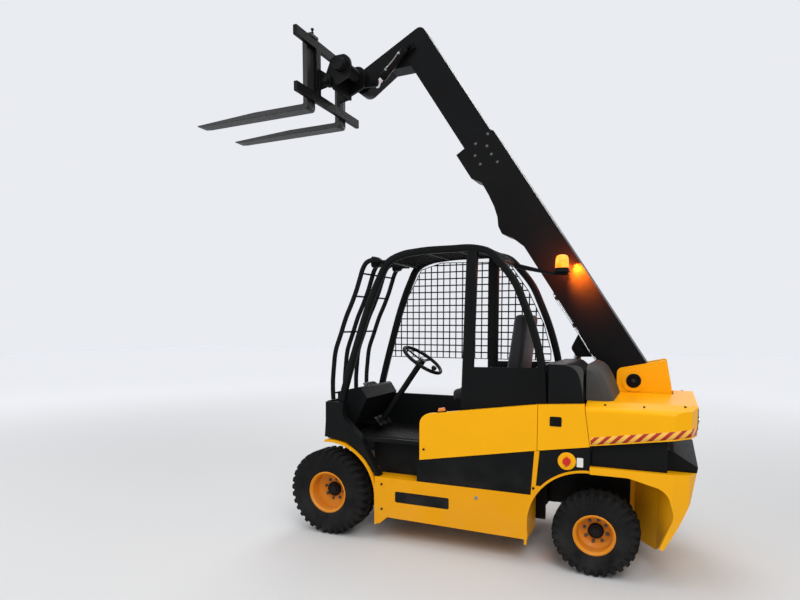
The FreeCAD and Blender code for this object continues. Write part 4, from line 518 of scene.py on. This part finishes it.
def tyre(name, radius, width, rim, blocks, body):
    """Points = casing + mask x (block surface - casing), on a grid of places round and across the tyre."""
    half = [(0.40, rim - 11), (0.425, rim + 1), (0.447, rim + 8), (0.462, rim + 20), (0.478, rim + 34),
            (0.487, (rim + radius) / 2 - 6), (0.494, (rim + radius) / 2 + 16), (0.492, radius - 52),
            (0.484, radius - 34), (0.470, radius - 20), (0.446, radius - 9), (0.40, radius - 3), (0.34, radius - 1),
            (0.20, radius - 0.4), (0.0, radius)]
    depth = np.array([0, 0, 0, 0, 0, 0, 0, 4, 10, 14, 16, 17, 17, 17, 17.0])
    lean = np.array([0, 0, 0, 0, 0, 0, 0, 3, 6, 7, 5, 2, 0, 0, 0.0])
    outside = np.array(half)
    casing = np.stack([outside[:, 0] * width - lean, outside[:, 1] - depth], axis=-1)
    blocky = np.stack([outside[:, 0] * width, outside[:, 1]], axis=-1)
    casing, blocky = np.split(smooth(np.concatenate([casing, blocky], axis=1), 43), 2, axis=1)
    mirror = np.array([-1, 1])
    casing = np.concatenate([casing, casing[-2::-1] * mirror])
    blocky = np.concatenate([blocky, blocky[-2::-1] * mirror])
    turn = np.arange(blocks * 12) * 2 * np.pi / (blocks * 12)
    across = blocky[:, 0] / (width / 2)
    mask = np.zeros((len(turn), len(across)))
    for side, offset in ((1, 0.0), (-1, 0.5)):
        away = across * side
        phase = (turn[:, None] * blocks / (2 * np.pi) + 0.42 * np.abs(away)[None] + offset) % 1
        edge = np.clip((0.27 - np.abs(phase - 0.5)) / 0.05 + 0.5, 0, 1)
        mask = np.maximum(mask, edge * np.clip((away[None] + 0.16) / 0.03, 0, 1))
    middle_rib = np.clip((0.07 - np.abs(across)) / 0.02, 0, 1)[None] * 0.75
    mask = np.maximum(mask, middle_rib)[..., None]
    cut = casing[None] + mask * (blocky - casing)[None]
    spin = np.stack([np.cos(turn), np.zeros_like(turn), np.sin(turn)], axis=-1)
    grid = middle_of(name) + (cut[..., 1:] * spin[:, None] + cut[..., :1] * np.array([0, 1, 0])) / 1000
    shape = (grid.reshape(-1, 3), quads(*grid.shape[:2], wrap_rows=True, wrap_columns=True))
    item = piece(name + "_tread", shape, rubber, body, smoothing=28)
    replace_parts(item, name)
    return len(item.data.polygons)


for side in ("left", "right"):
    tyre(f"front_{side}_tyre", 343, 254, 167, 34, f"front_wheel_{side}")
    count = tyre(f"rear_{side}_tyre", 285, 229, 139, 30, f"rear_wheel_{side}")
print("faces of a rear tyre", count)

# %% [markdown]
# Behind the dish of each rim sits the hub with its ring of wheel nuts and an end cap. A nut is a six-sided collar on
# a washer, repeated round the hub.

# %% Hubs and wheel nuts
DISC_INSET = 0.0172
NUT = [(0.0, 0.0), (0.013, 0.0), (0.013, 0.003), (0.0105, 0.003), (0.0105, 0.013), (0.008, 0.015), (0.0, 0.015)]


def hub(name, node, body, sign, circle, cap):
    """A ring of nuts on the disc and a stepped cap in the middle, both facing out."""
    face = middle_of(node) - [0, sign * DISC_INSET, 0]
    turn = np.arange(8) * np.pi / 4 + 0.2
    spots = face + circle * np.stack([np.cos(turn), np.zeros(8), np.sin(turn)], axis=-1)
    nuts = stamped(turned(NUT, (0, 0, 0), (0, sign, 0), 6), spots)
    piece(name + "_nuts", nuts, zinc, body, smoothing=30)
    profile = [(0.0, 0.0), (cap, 0.0), (cap, 0.020), (cap * 0.86, 0.030), (cap * 0.62, 0.033), (cap * 0.58, 0.042),
               (0.0, 0.044)]
    piece(name + "_cap", turned(profile, face, (0, sign, 0), 40), black, body, smoothing=30)


for side, sign in SIDES:
    hub(f"front_{side}_hub", f"front_{side}_tyre", f"front_wheel_{side}", sign, 0.082, 0.058)
    hub(f"rear_{side}_hub", f"rear_{side}_tyre", f"rear_wheel_{side}", sign, 0.076, 0.052)

# %% [markdown]
# The cab frame is bent from black box tube: a hoop on each side that runs from the cowl over the roof to the engine
# cover, with a wide pillar behind the doorway and a closed panel under the rear window. A rounded rectangle carried
# along the hoop's centre line gives the bent tube. The left frame leans in over the operator.

# %% Cab frame
HOOP = [(-88, 1075), (-100, 1150), (-122, 1240), (-205, 1545), (-298, 1850), (-378, 2050), (-452, 2180),
        (-560, 2230), (-700, 2250), (-965, 2257), (-1150, 2252), (-1262, 2218), (-1345, 2135), (-1455, 1992),
        (-1520, 1850), (-1584, 1690), (-1628, 1550), (-1662, 1410), (-1680, 1240), (-1690, 1078)]
BELT, LEAN = 1075, np.radians(5.4)


def leaned(points, side):
    """Points drawn flat in the side frame: on the left they turn about the belt line, by the frame's lean."""
    points = np.array(points, float)
    if side == "left":
        out, up = points[:, 1].copy(), points[:, 2] - BELT
        points[:, 1] = 565 + out * np.cos(LEAN) - up * np.sin(LEAN)
        points[:, 2] = BELT + up * np.cos(LEAN) + out * np.sin(LEAN)
    else:
        points[:, 1] -= 136
    return at(points)


def flat_path(pairs, count, across=-25):
    """A smooth path through x and z, at one place across."""
    curve = smooth(pairs, count)
    return np.stack([curve[:, 0], np.full(count, float(across)), curve[:, 1]], axis=-1)


for side in ("left", "right"):
    tilt = (0, np.cos(LEAN), np.sin(LEAN)) if side == "left" else (0, 1, 0)
    hoop = carried(leaned(flat_path(HOOP, 90), side), soft_box(0.052, 0.050, 0.011), tilt)
    pillar = carried(leaned([(-1130, -25, z) for z in (1075, 1300, 1600, 1900, 2246)], side),
                     soft_box(0.084, 0.048, 0.012), tilt)
    outline = [(-1142, 1077), (-1692, 1077), (-1668, 1392), (-1142, 1385)]
    panel = slab(leaned([(x, -45, z) for x, z in outline], side), np.array(tilt) * 0.040)
    frame_piece = piece(f"cab_frame_{side}", gathered([hoop, pillar, panel]), black, bevel=0.003)
    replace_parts(frame_piece, f"cab_side_{side}")

# %% [markdown]
# Bars bent like the hoop's upper part guard the windscreen opening and go on over the roof, where cross members tie
# them. They let a driver look up at the raised load. The same sweep makes them, from a smaller profile.

# %% Front guard and roof bars
GUARD = [(26.5, 1078), (29.5, 1140), (29.5, 1215), (18.5, 1345), (1.5, 1470), (-49.5, 1612), (-101.5, 1752),
         (-153.5, 1862), (-195.5, 1962), (-227.5, 2055), (-256, 2132), (-283, 2170), (-325, 2188), (-392, 2188)]
ROOF = [(-434, 2180), (-520, 2213), (-645, 2240), (-822, 2254), (-1108, 2255), (-1248, 2230), (-1325, 2154)]
FLAT_BAR, ROUND_BAR = soft_box(0.036, 0.020, 0.006), ring(0.0075)


def cross_bar(x, z, low, high, profile=ROUND_BAR):
    """A straight bar across the machine, between two places."""
    return carried(at([(x, y, z) for y in np.linspace(low, high, 3)]), profile, (0, 0, 1))


bars = [carried(at(flat_path(GUARD, 60, y)), FLAT_BAR) for y in np.linspace(-101, 491, 4)]
bars += [cross_bar(x, z, -126, 503) for x, z in ((27, 1127), (-53, 1628), (-171, 1914), (-237, 2091))]
bars.append(cross_bar(-410, 2186, -134, 395, soft_box(0.030, 0.012, 0.003)))
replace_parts(piece("guard_bars", gathered(bars), black), "front_guard")
roof = [carried(at(flat_path(ROOF, 40, y)), soft_box(0.024, 0.018, 0.005)) for y in np.linspace(-123, 384, 8)]
roof += [cross_bar(x, z, -136, 396, soft_box(0.044, 0.020, 0.006)) for x, z in ((-448, 2182), (-1322, 2156))]
roof += [cross_bar(x, z, -136, 396, soft_box(0.022, 0.016, 0.005)) for x, z in ((-740, 2238), (-1010, 2240))]
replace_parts(piece("roof_bars", gathered(roof), black), "cab_roof")
print("guard", len(bars), "roof", len(roof))

# %% [markdown]
# Welded mesh closes the side beside the boom. Its wires stand in two crossed rows inside one outline. Each wire's
# ends are read off that outline, by interpolating its front, its top and its rear edge.

# %% Wire mesh beside the boom
EDGE = np.array([(-170, 1400), (-330, 1900), (-470, 2160), (-660, 2215), (-1240, 2200), (-1410, 1960),
                 (-1540, 1690), (-1600, 1480), (-1600, 1400)], float)
WIRE = ring(0.0052, 8) * [1.0, 0.62]


def in_mesh(places):
    """Places given by x and z in the upright plane of the mesh."""
    return at([(x, -189.8, z) for x, z in places])


wires = []
for x in np.arange(-222, -1590, -57):
    top = np.interp(-x, -EDGE[:8, 0], EDGE[:8, 1])
    wires.append(carried(in_mesh([(x, 1402), (x, 1700), (x, top)]), WIRE))
for z in np.arange(1452, 2200, 57):
    front = np.interp(z, EDGE[:4, 1], EDGE[:4, 0])
    rear = np.interp(z, EDGE[:3:-1, 1], EDGE[:3:-1, 0])
    wires.append(carried(in_mesh([(front, z), (-900, z), (rear, z)]), WIRE[:, ::-1], (0, 0, 1)))
border = np.concatenate([EDGE, EDGE[:1]])
for start, end in zip(border[:-1], border[1:]):
    wires.append(carried(in_mesh(np.linspace(start, end, 3)), ring(0.0034, 8)))
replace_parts(piece("mesh_wires", gathered(wires), black), "mesh_guard")
print("wires", len(wires))

# %% [markdown]
# Stick-on details of the body: a pressed latch in the side panel, the battery isolator behind the step, a bare type
# plate and a plug on the rail, marker lamps, and bolts whose heads stand a few millimetres proud.

# %% Latch, isolator, plates and lamps


def badge(low, high, y, thick, cut, side=1):
    """A plate with cut corners on a side face: its x and z corners, the face's place and how far it stands out."""
    (x0, z0), (x1, z1) = low, high
    return plate([(x0 + cut, z0), (x1 - cut, z0), (x1, z0 + cut), (x1, z1 - cut), (x1 - cut, z1), (x0 + cut, z1),
                  (x0, z1 - cut), (x0, z0 + cut)], side * y, side * thick)


def disc(x, y, z, radius, thick, axis=(0, 1, 0), edge=1.5, count=32):
    """A flat round head with a small chamfer, standing on a face."""
    return lathe([(0, -0.5), (radius, -0.5), (radius, thick - edge), (radius - edge, thick), (0, thick)], (x, y, z),
                 axis, count)


BOLT = [(0, -1), (13, -1), (13, 2), (10.5, 2.4), (10.5, 9), (9, 10.5), (0, 10.5)]


def bolts(places, axis, size=1.0, place=at):
    """Hexagon heads on washers, at places given in millimetres."""
    return stamped(turned(np.array(BOLT) * size / 1000, (0, 0, 0), axis, 6), place(places))


for side, sign, (z0, z1), (z2, z3) in (("left", 1, (1003, 1069), (1013, 1059)),
                                       ("right", -1, (868, 924), (876, 916))):
    piece(f"latch_frame_{side}", badge((-1822, z0), (-1742, z1), 610, 3, 6, sign), panel_black, bevel=0.001)
    piece(f"latch_paddle_{side}", badge((-1810, z2), (-1768, z3), 612.5, 3.5, 4, sign), black, bevel=0.0015)
    piece(f"rail_plug_{side}", disc(-1230, sign * 610, 440, 15, 4, (0, sign, 0), count=6), steel)
    piece(f"type_plate_{side}", badge((-1021, 327), (-585, 411), 610, 1.4, 8, sign), panel_black)
    heads = [(-820, sign * 610, 760), (-1640, sign * 610, 560), (-470, sign * 610, 455), (-470, sign * 610, 260)]
    piece(f"side_bolts_{side}", bolts(heads, (0, sign, 0), 0.75), black)
piece("isolator_disc", disc(-1861, 602, 771, 60, 11, edge=5, count=48), yellow)
piece("isolator_knob", gathered([disc(-1861, 612, 771, 27, 12, edge=3, count=40),
                                 badge((-1868, 738), (-1854, 804), 620, 12, 3)]), hazard_red, bevel=0.0015)
piece("isolator_plate", badge((-1967, 737), (-1925, 800), 602, 1.5, 3), plate_white)
lamp_base = plate([(-920, 1036), (-990, 1046), (-990, 1058), (-920, 1048)], 577, 28)
lamp_top = plate([(-925, 1047), (-985, 1056), (-980, 1082), (-932, 1075)], 580, 22)
piece("marker_base", lamp_base, panel_black, bevel=0.003)
piece("marker_lens", lamp_top, amber_dull, bevel=0.006, steps=3)

# %% [markdown]
# The hazard tape runs along the hood's lower edge and round its rear corners. It is a strip of points laid a little
# off the sheet, with its own coordinates: the length along the tape and the height across it. The slanting stripes
# are worked out from those two in the material, so they stay as wide round the corner.

# %% Hazard tape
tape_finish, tape_tree, tape_shader, tape_place = new_material("hazard tape", {
    "Roughness": 0.28, "Coat Weight": 0.1, "Specular IOR Level": 0.2})
tape_uv = put(tape_tree, "ShaderNodeSeparateXYZ", {0: put(tape_tree, "ShaderNodeUVMap", {}, uv_map="tape").outputs[0]})
slant = sums(tape_tree, "MULTIPLY", tape_uv.outputs["Y"], -1.15)
phase = sums(tape_tree, "DIVIDE", sums(tape_tree, "ADD", tape_uv.outputs["X"], slant), 0.075)
striped = mixed(tape_tree, ranged(tape_tree, sums(tape_tree, "FRACT", phase, 0.0), 0.52, 0.54), (0.95, 0.52, 0.07, 1),
                (0.42, 0.010, 0.003, 1))
spotted = ranged(tape_tree, noise(tape_tree, tape_place, 40.0, 4.0), 0.25, 0.75, 0.82, 1.0)
tape_tree.links.new(mixed(tape_tree, spotted, (0.34, 0.22, 0.12, 1), striped), tape_shader.inputs["Base Color"])


def tape(name, side):
    """Rows of points along the hood's edge; the tape's length is the sum of the steps, its height 50 mm."""
    corners = np.array([(-2012, 610.6), (-2515, 610.6), (-2610.3, 568.6), (-2645.7, 480), (-2645.7, 330)])
    steps = np.concatenate([[0], np.cumsum(np.linalg.norm(np.diff(corners, axis=0), axis=1))])
    length = np.sort(np.concatenate([np.linspace(0, steps[-1], 120), steps[1:-1]]))
    x, y = np.interp(length, steps, corners[:, 0]), np.interp(length, steps, corners[:, 1])
    rise = 882 + 118 * (-1930 - x) / 765
    level = np.linspace(0, 1, 3)
    grid = np.stack([np.broadcast_to(x[:, None], (len(x), 3)), np.broadcast_to(side * y[:, None], (len(x), 3)),
                     rise[:, None] + 50 * level[None]], axis=-1)
    item = piece(name, (at(grid.reshape(-1, 3)), quads(len(x), 3)), tape_finish)
    layer = item.data.uv_layers.new(name="tape")
    corner = np.empty(len(item.data.loops), int)
    item.data.loops.foreach_get("vertex_index", corner)
    flat = np.stack([np.repeat(length, 3) / 1000, np.tile(level, len(x)) * 0.050], axis=-1)
    layer.data.foreach_set("uv", flat[corner].ravel())
    thick = item.modifiers.new("thickness", "SOLIDIFY")
    thick.thickness, thick.offset = 0.0006, 0


for side, sign in SIDES:
    tape("hazard_tape_" + side, sign)

# %% [markdown]
# Between the black side panel and the boom a grey moulded cover drops from the cab to the hood. One outline is drawn
# at every place across, and shrinks towards the hood's side as a quarter of an ellipse does, so that its outer edge
# is round. A cheek of the same moulding wraps the corner of the black panel, and a gusset stiffens each bracket plate.

# %% Cover behind the cab and gussets
COVER = [(-2134, 1173), (-2121, 1212), (-2098, 1272), (-2068, 1336), (-2034, 1385), (-1996, 1409), (-1957, 1418)]
curve = np.concatenate([smooth(COVER, 30), [(-1957, 1173)]])
quarter = np.linspace(0, np.pi / 2, 8)[1:]
across = np.concatenate([[-139, 40, 200, 380], 380 + 79 * np.sin(quarter)])
shrink = np.concatenate([np.zeros(4), 1 - np.cos(quarter)])
layers = []
for place, share in zip(across, shrink):
    layers.append(np.stack([-1957 + (curve[:, 0] + 1957) * (1 - 0.34 * share), np.full(31, place),
                            1173 + (curve[:, 1] - 1173) * (1 - 0.16 * share)], axis=-1))
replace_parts(piece("cover_shell", lofted(at(layers)), panel_grey, smoothing=40), "intake_cover")
arc = smooth([(-1828, 1417), (-1878, 1403), (-1912, 1367), (-1934, 1304), (-1945, 1250), (-1950, 1196)], 20)
corner = np.concatenate([arc, [(-1950.5, 1376), (-1940, 1400), (-1922, 1413), (-1900, 1417)]])
piece("cover_cheek", plate(corner, 569.5, 3), panel_grey)
for side, y in (("left", -195), ("right", -477)):
    gusset = plate([(-2108, 1246), (-2108, 1171), (-2036, 1171), (-2094, 1238)], y, 12)
    piece(f"bracket_gusset_{side}", gusset, yellow, bevel=0.002)

# %% [markdown]
# The hood closes the radiator. Its rear face carries a louvred grille between two lamp clusters, and small screws
# hold its flat top. A steel tow pin stands in the counterweight's slot.

# %% Rear end
louvres = [slab(at([(-2645, -300, z), (-2645, 300, z), (-2655, 300, z - 9), (-2655, -300, z - 9)]), (0, 0, 0.003))
           for z in np.arange(1018, 1116, 16)]
frame_bars = [block((-2657, y, 1008), (-2644, y + 14, 1124)) for y in (-314, -7, 300)]
frame_bars += [block((-2657, -314, z), (-2644, 314, z + 12)) for z in (996, 1120)]
piece("rear_grille", gathered(louvres + frame_bars), panel_black)
for side, sign in SIDES:
    case = block((-2651, sign * 345, 1056), (-2642, sign * 470, 1108))
    piece(f"lamp_case_{side}", case, panel_black, bevel=0.003)
    for name, y, glass in (("stop", 365, lamp_red), ("turn", 407, amber_dull), ("back", 449, lamp_clear)):
        piece(f"lamp_{name}_{side}", disc(-2650, sign * y, 1082, 18, 7, (-1, 0, 0), 3), glass)
    screws = bolts([(x, sign * y, z) for x, y, z in ((-2090, 540, 1156), (-2330, 540, 1156), (-2570, 500, 1165))],
                   (0, sign * 0.223, 0.975), 0.7)
    piece(f"hood_screws_{side}", screws, black)
tow = lathe([(0, 0), (16, 0), (16, 236), (13, 240), (0, 240)], (-2590, 0, 470), (0, 0, 1), 32)
piece("tow_pin_bar", tow, steel)

# %% [markdown]
# Three pressure pipes run along the boom's underside in clamps, from a block near the pivot to where they turn into
# the section, whose hoses run inside. Round the pivot pin sits a plain black cap with a steel screw.

# %% Boom pipes and head bolts
pipes, clamps = [], []
for y in (-226, -238, -250):
    path = [(268, y, -150), (276, y, -158), (300, y, -161), (500, y, -161), (700, y, -161), (880, y, -161),
            (904, y, -157), (912, y, -148)]
    pipes.append(carried(on_boom(smooth(path, 80)), ring(0.0056, 12)))
piece("boom_pipes", gathered(pipes), chrome, "boom_outer")
for low, high, top, foot, wide in ((329, 361, -150.5, -168, 36), (584, 616, -150.5, -168, 36),
                                   (844, 876, -150.5, -168, 36), (236, 282, -149, -166, 40)):
    clamps.append(plate([(low, top), (high, top), (high, foot), (low, foot)], -220.5, -wide, on_boom))
piece("pipe_clamps", gathered(clamps), panel_black, "boom_outer", bevel=0.002)
spots = [(2071, 36), (2155, 30), (2147, -87), (2233, -86), (2235, 36), (2312, 92), (2312, -30)]
for side, sign in SIDES:
    heads = bolts([(u, BOOM_Y + sign * 110, v) for u, v in spots], (0, sign, 0), place=on_boom)
    piece(f"head_bolts_{side}", heads, zinc, "boom_outer")
    cap = [(0, 0), (54, 0), (54, 5), (51, 8), (36, 9), (33, 6), (22, 6), (21, 8), (0, 8)]
    piece(f"pivot_cap_{side}", lathe(cap, (-2227, BOOM_Y + sign * 156.2, 1262), (0, sign, 0), 48), black)
    piece(f"pivot_screw_{side}", lathe(BOLT, (-2227, BOOM_Y + sign * 163.7, 1262), (0, sign, 0), 6, 1.3), cast_grey)
print("pipes", len(pipes), "clamps", len(clamps))

# %% [markdown]
# A cylinder is read by its gland nut, its port blocks and the steel tube that feeds its far end. These pieces are
# turned about the cylinder's own line, which goes from its barrel pin to its rod pin.

# %% Cylinder fittings


def fittings(name, start, end, y, radius, reach, rod_radius, body):
    """A gland nut round the barrel's open end, two ports and a feed tube along the barrel."""
    start, end = np.array([start[0], y, start[1]], float), np.array([end[0], y, end[1]], float)
    line = unit(end - start)
    out = np.array([line[2], 0, -line[0]])
    nut = [(radius - 6, reach - 34), (radius + 3, reach - 34), (radius + 3, reach - 6), (radius - 3, reach + 3),
           (rod_radius + 7, reach + 3), (rod_radius + 5, reach + 10), (rod_radius + 1, reach + 10)]
    piece(name + "_gland", lathe(nut, start, line, 40), black, body)
    side = np.array([0, 1.0, 0])
    ports = []
    for place in (reach - 70, reach * 0.28):
        ports.append(lathe([(0, 0), (13, 0), (13, 12), (9, 13), (9, 19), (0, 19)],
                           start + line * place + side * (radius - 3), side, 6))
    tube = [start + line * place + side * over for place, over in (
        (reach - 70, radius + 12), (reach - 76, radius + 15), (reach - 100, radius + 10), (reach * 0.6, radius + 7),
        (reach * 0.28 + 30, radius + 10), (reach * 0.28 + 6, radius + 15), (reach * 0.28, radius + 12))]
    ports.append(carried(at(smooth(tube, 50)), ring(0.005, 10), tuple(out)))
    piece(name + "_ports", gathered(ports), steel, body)


fittings("lift", (-1560, 300), (-1801.2, 1486.2), BOOM_Y, 58, 655, 32, "lift_cylinder_barrel")
fittings("level", (-330.4, 4072.4), (-32.9, 3800.8), -205, 34, 330, 18, "level_cylinder_barrel")

# %% [markdown]
# The beacon is a ribbed lens on a black foot. The lens profile is turned, and its radius waves round the axis, which
# gives the upright ribs of a real one.

# %% Beacon
BEACON = (-1702, 0, 2086)
foot = lathe([(0, 0.4), (58, 0.4), (58, 8), (52, 14), (52, 30), (47, 34), (0, 34)], BEACON, (0, 0, 1), 48)
piece("beacon_foot", foot, panel_black)
lens_profile = [(0.1, 33), (49, 33), (50, 36), (49, 58), (48, 84), (46, 104), (41, 118), (31, 127), (16, 131.4),
                (0.1, 132)]
lens_points, lens_faces = turned(np.array(lens_profile) / 1000, (0, 0, 0), (0, 0, 1), 120)
bearing = np.arctan2(lens_points[:, 1], lens_points[:, 0])
wave = 1 + 0.018 * np.cos(20 * bearing)[:, None] * [1, 1, 0]
wave[:, 2] = 1
beacon = piece("beacon_lens", (lens_points * wave + at(BEACON), lens_faces), amber, smoothing=60)
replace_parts(beacon, "beacon")

# %% [markdown]
# In the cab there are an instrument pod on the dashboard, a lever console right of the seat, three pedals and a
# ribbed mat. The driver works the boom with the single lever.

# %% Controls
pod = slab(at([(-150, 95, 1180), (-150, 295, 1180), (-232, 295, 1120), (-232, 95, 1120)]), (0.012, 0, 0.022))
piece("instrument_pod", pod, panel_grey, bevel=0.008, steps=3)
face_up = unit(np.array([-0.6, 0, 0.8]))
dials = [lathe([(0, 0), (24, 0), (24, 4), (21, 5), (20, 3), (0, 3)], (-178, y, 1184), face_up, 32)
         for y in (135, 195, 255)]
piece("dials", gathered(dials), panel_black)
console = plate([(-1330, 1105), (-960, 1120), (-900, 1080), (-900, 802), (-1330, 802)], -128, 85)
piece("lever_console", console, panel_black, bevel=0.012, steps=3)
stick = lathe([(0, 0), (30, 0), (26, 14), (14, 24), (7, 34), (6, 120), (17, 132), (20, 160), (17, 196), (9, 206),
               (0, 207)], (-985, -86, 1116), (-0.10, 0, 0.99), 32)
piece("boom_lever", stick, panel_black)
pedal_parts = []
for y, wide in ((130, 50), (215, 70), (300, 50)):
    pedal_parts.append(slab(at([(-335, y, 862), (-335, y + wide, 862), (-275, y + wide, 930), (-275, y, 930)]),
                            (0.006, 0, -0.006)))
    pedal_parts.append(carried(at([(-298, y + wide / 2, 893), (-250, y + wide / 2, 870), (-170, y + wide / 2, 880)]),
                               ring(0.007)))
piece("pedals", gathered(pedal_parts), black, bevel=0.001)
mat = [block((-900, 40, 800.3), (-130, 500, 805.3))]
mat += [block((x, 48, 805), (x + 14, 492, 808)) for x in np.arange(-890, -150, 30)]
piece("floor_mat", gathered(mat), panel_black)
WHEEL_TURN = np.radians(35)
knob = lathe([(0, 0), (9, 0), (9, 16), (20, 24), (22, 38), (16, 48), (0, 50)],
             (-640 - 143 * np.cos(WHEEL_TURN), 290, 1400 - 143 * np.sin(WHEEL_TURN)),
             (-np.sin(WHEEL_TURN), 0, np.cos(WHEEL_TURN)), 32)
piece("spinner_knob", knob, panel_black)
print("cab fitted")

# %% [markdown]
# The seat has two vinyl cushions over foam. A rounded block a little smaller than the finished pad is remeshed
# evenly and blown up as cloth from inside, with each point held within a few millimetres of its start. Then the
# sewn channels are pressed in: a groove is deepest on its line and fades away on both sides of it.

# %% Seat cushions


def read(items, label):
    """One vector of every item, as rows of three."""
    values = np.empty(len(items) * 3)
    items.foreach_get(label, values)
    return values.reshape(-1, 3)


def blown_up(item, limit):
    """The item's points after twenty frames as cloth under pressure, none further than the limit from its start."""
    cloth = item.modifiers.new("cloth", "CLOTH")
    cloth.settings.use_pressure = True
    cloth.settings.uniform_pressure_force = 4.0
    cloth.settings.tension_stiffness = 18.0
    cloth.settings.effector_weights.gravity = 0
    for number in range(1, 21):
        bpy.context.scene.frame_set(number)
    after = read(item.evaluated_get(bpy.context.evaluated_depsgraph_get()).to_mesh().vertices, "co")
    item.modifiers.remove(cloth)
    bpy.context.scene.frame_set(1)
    before = read(item.data.vertices, "co")
    move = after - before
    size = np.linalg.norm(move, axis=1, keepdims=True)
    return before + move * np.minimum(1, limit / np.maximum(size, 1e-9))


def cushion(name, outline, face, channels, node):
    """A pad: its side outline lifted across the seat, rounded, remeshed, blown up and pressed in at its seams."""
    rough = piece(name + "_rough", plate(outline, -28, 446), vinyl, bevel=0.026, steps=4)
    even = rough.modifiers.new("even", "REMESH")
    even.mode, even.voxel_size = "VOXEL", 0.0065
    mesh = bpy.data.meshes.new_from_object(rough.evaluated_get(bpy.context.evaluated_depsgraph_get()))
    bpy.data.objects.remove(rough)
    mesh.materials.clear()
    mesh.materials.append(vinyl)
    item = bpy.data.objects.new(name, mesh)
    bpy.context.scene.collection.objects.link(item)
    points = blown_up(item, 0.009)
    facing = np.clip(read(mesh.vertices, "normal") @ unit(np.array(face, float)), 0, 1)[:, None]
    place = (points - [AXLE, 0, 0]) * 1000
    groove = np.zeros((len(points), 1))
    inside = (np.abs(place[:, 1] - 195) < 150)[:, None]
    for axis, where, depth in channels:
        line = np.exp(-((place[:, axis] - where) / 9) ** 2)[:, None] * depth
        groove = np.maximum(groove, line if axis == 1 else line * inside)
    points = points - facing * groove * unit(np.array(face, float)) / 1000
    mesh.vertices.foreach_set("co", points.ravel())
    mesh.polygons.foreach_set("use_smooth", np.ones(len(mesh.polygons), bool))
    mesh.update()
    finer = item.modifiers.new("finer", "SUBSURF")
    finer.levels = finer.render_levels = 1
    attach(item, "chassis")
    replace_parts(item, node)
    return len(mesh.polygons)


sides = [(1, 45, 7), (1, 345, 7)]
flat = cushion("seat_cushion_pad", [(-1432, 1113), (-968, 1113), (-968, 1196), (-1432, 1182)], (0, 0, 1),
               sides + [(0, -1090, 4), (0, -1190, 4), (0, -1290, 4)], "seat_cushion")
tall = cushion("seat_back_pad", [(-1372, 1226), (-1448, 1768), (-1526, 1768), (-1466, 1226)], (1, 0, 0.14),
               sides + [(2, 1370, 4), (2, 1480, 4), (2, 1590, 4)], "seat_back")
print("cushion faces", flat, tall)

# %% [markdown]
# Two work lamps stand on the front guard, above the driver's view. Each has a rounded case, a clear glass in a rim
# and a stirrup. A case is a soft rectangle carried along its depth while it narrows towards the back.

# %% Work lamps
for side, y in (("left", 392), ("right", -2)):
    depth = np.array([0, 6, 22, 44, 58, 64])
    scale = np.array([1.0, 1.0, 0.97, 0.86, 0.62, 0.3])
    outline = soft_box(0.104, 0.086, 0.020, 6)
    layers = [at((-300 - along, y, 2182)) + np.stack([np.zeros(24), outline[:, 0] * share, outline[:, 1] * share],
                                                     axis=-1) for along, share in zip(depth, scale)]
    piece(f"work_lamp_{side}", lofted(np.array(layers)), black, bevel=0.002)
    glass = at((-299, y, 2182)) + np.stack([np.zeros(24), outline[:, 0] * 0.86, outline[:, 1] * 0.84], axis=-1)
    piece(f"work_glass_{side}", slab(glass, (0.004, 0, 0)), lamp_clear, bevel=0.001)
    arms = carried(at([(-326, y - 57, 2184), (-372, y - 57, 2185), (-386, y - 45, 2186), (-387, y, 2186),
                       (-386, y + 45, 2186), (-372, y + 57, 2185), (-326, y + 57, 2184)]),
                   soft_box(0.004, 0.018, 0.0015), (0, 0, 1))
    pivots = [lathe([(0, -4), (8, -4), (8, 6), (0, 6)], (-330, y + end * 54, 2184), (0, end, 0), 12)
              for end in (-1, 1)]
    piece(f"lamp_stirrup_{side}", gathered([arms] + pivots), black)

# %% [markdown]
# Fork hooks hold the forks on the upper bar, each locked by a sprung pin. The levelled frame carries the pin that the
# carriage tilts on, with a nut on each end.

# %% Fork latches
FOOT = np.array([127.1, 3858.8])
for side, sign in SIDES:
    latch = lathe([(0, 0), (11, 0), (11, 26), (7, 28), (7, 40), (13, 42), (13, 54), (0, 55)],
                  (FOOT[0] + 207, sign * 260, FOOT[1] + 232), (0, 0, 1), 24)
    piece(f"fork_latch_{side}", latch, black, "carriage")
    nut = lathe(BOLT, (FOOT[0] + 120, sign * 191, FOOT[1] - 120), (0, sign, 0), 6, 2.2)
    piece(f"tilt_nut_{side}", nut, black, "carriage_frame")
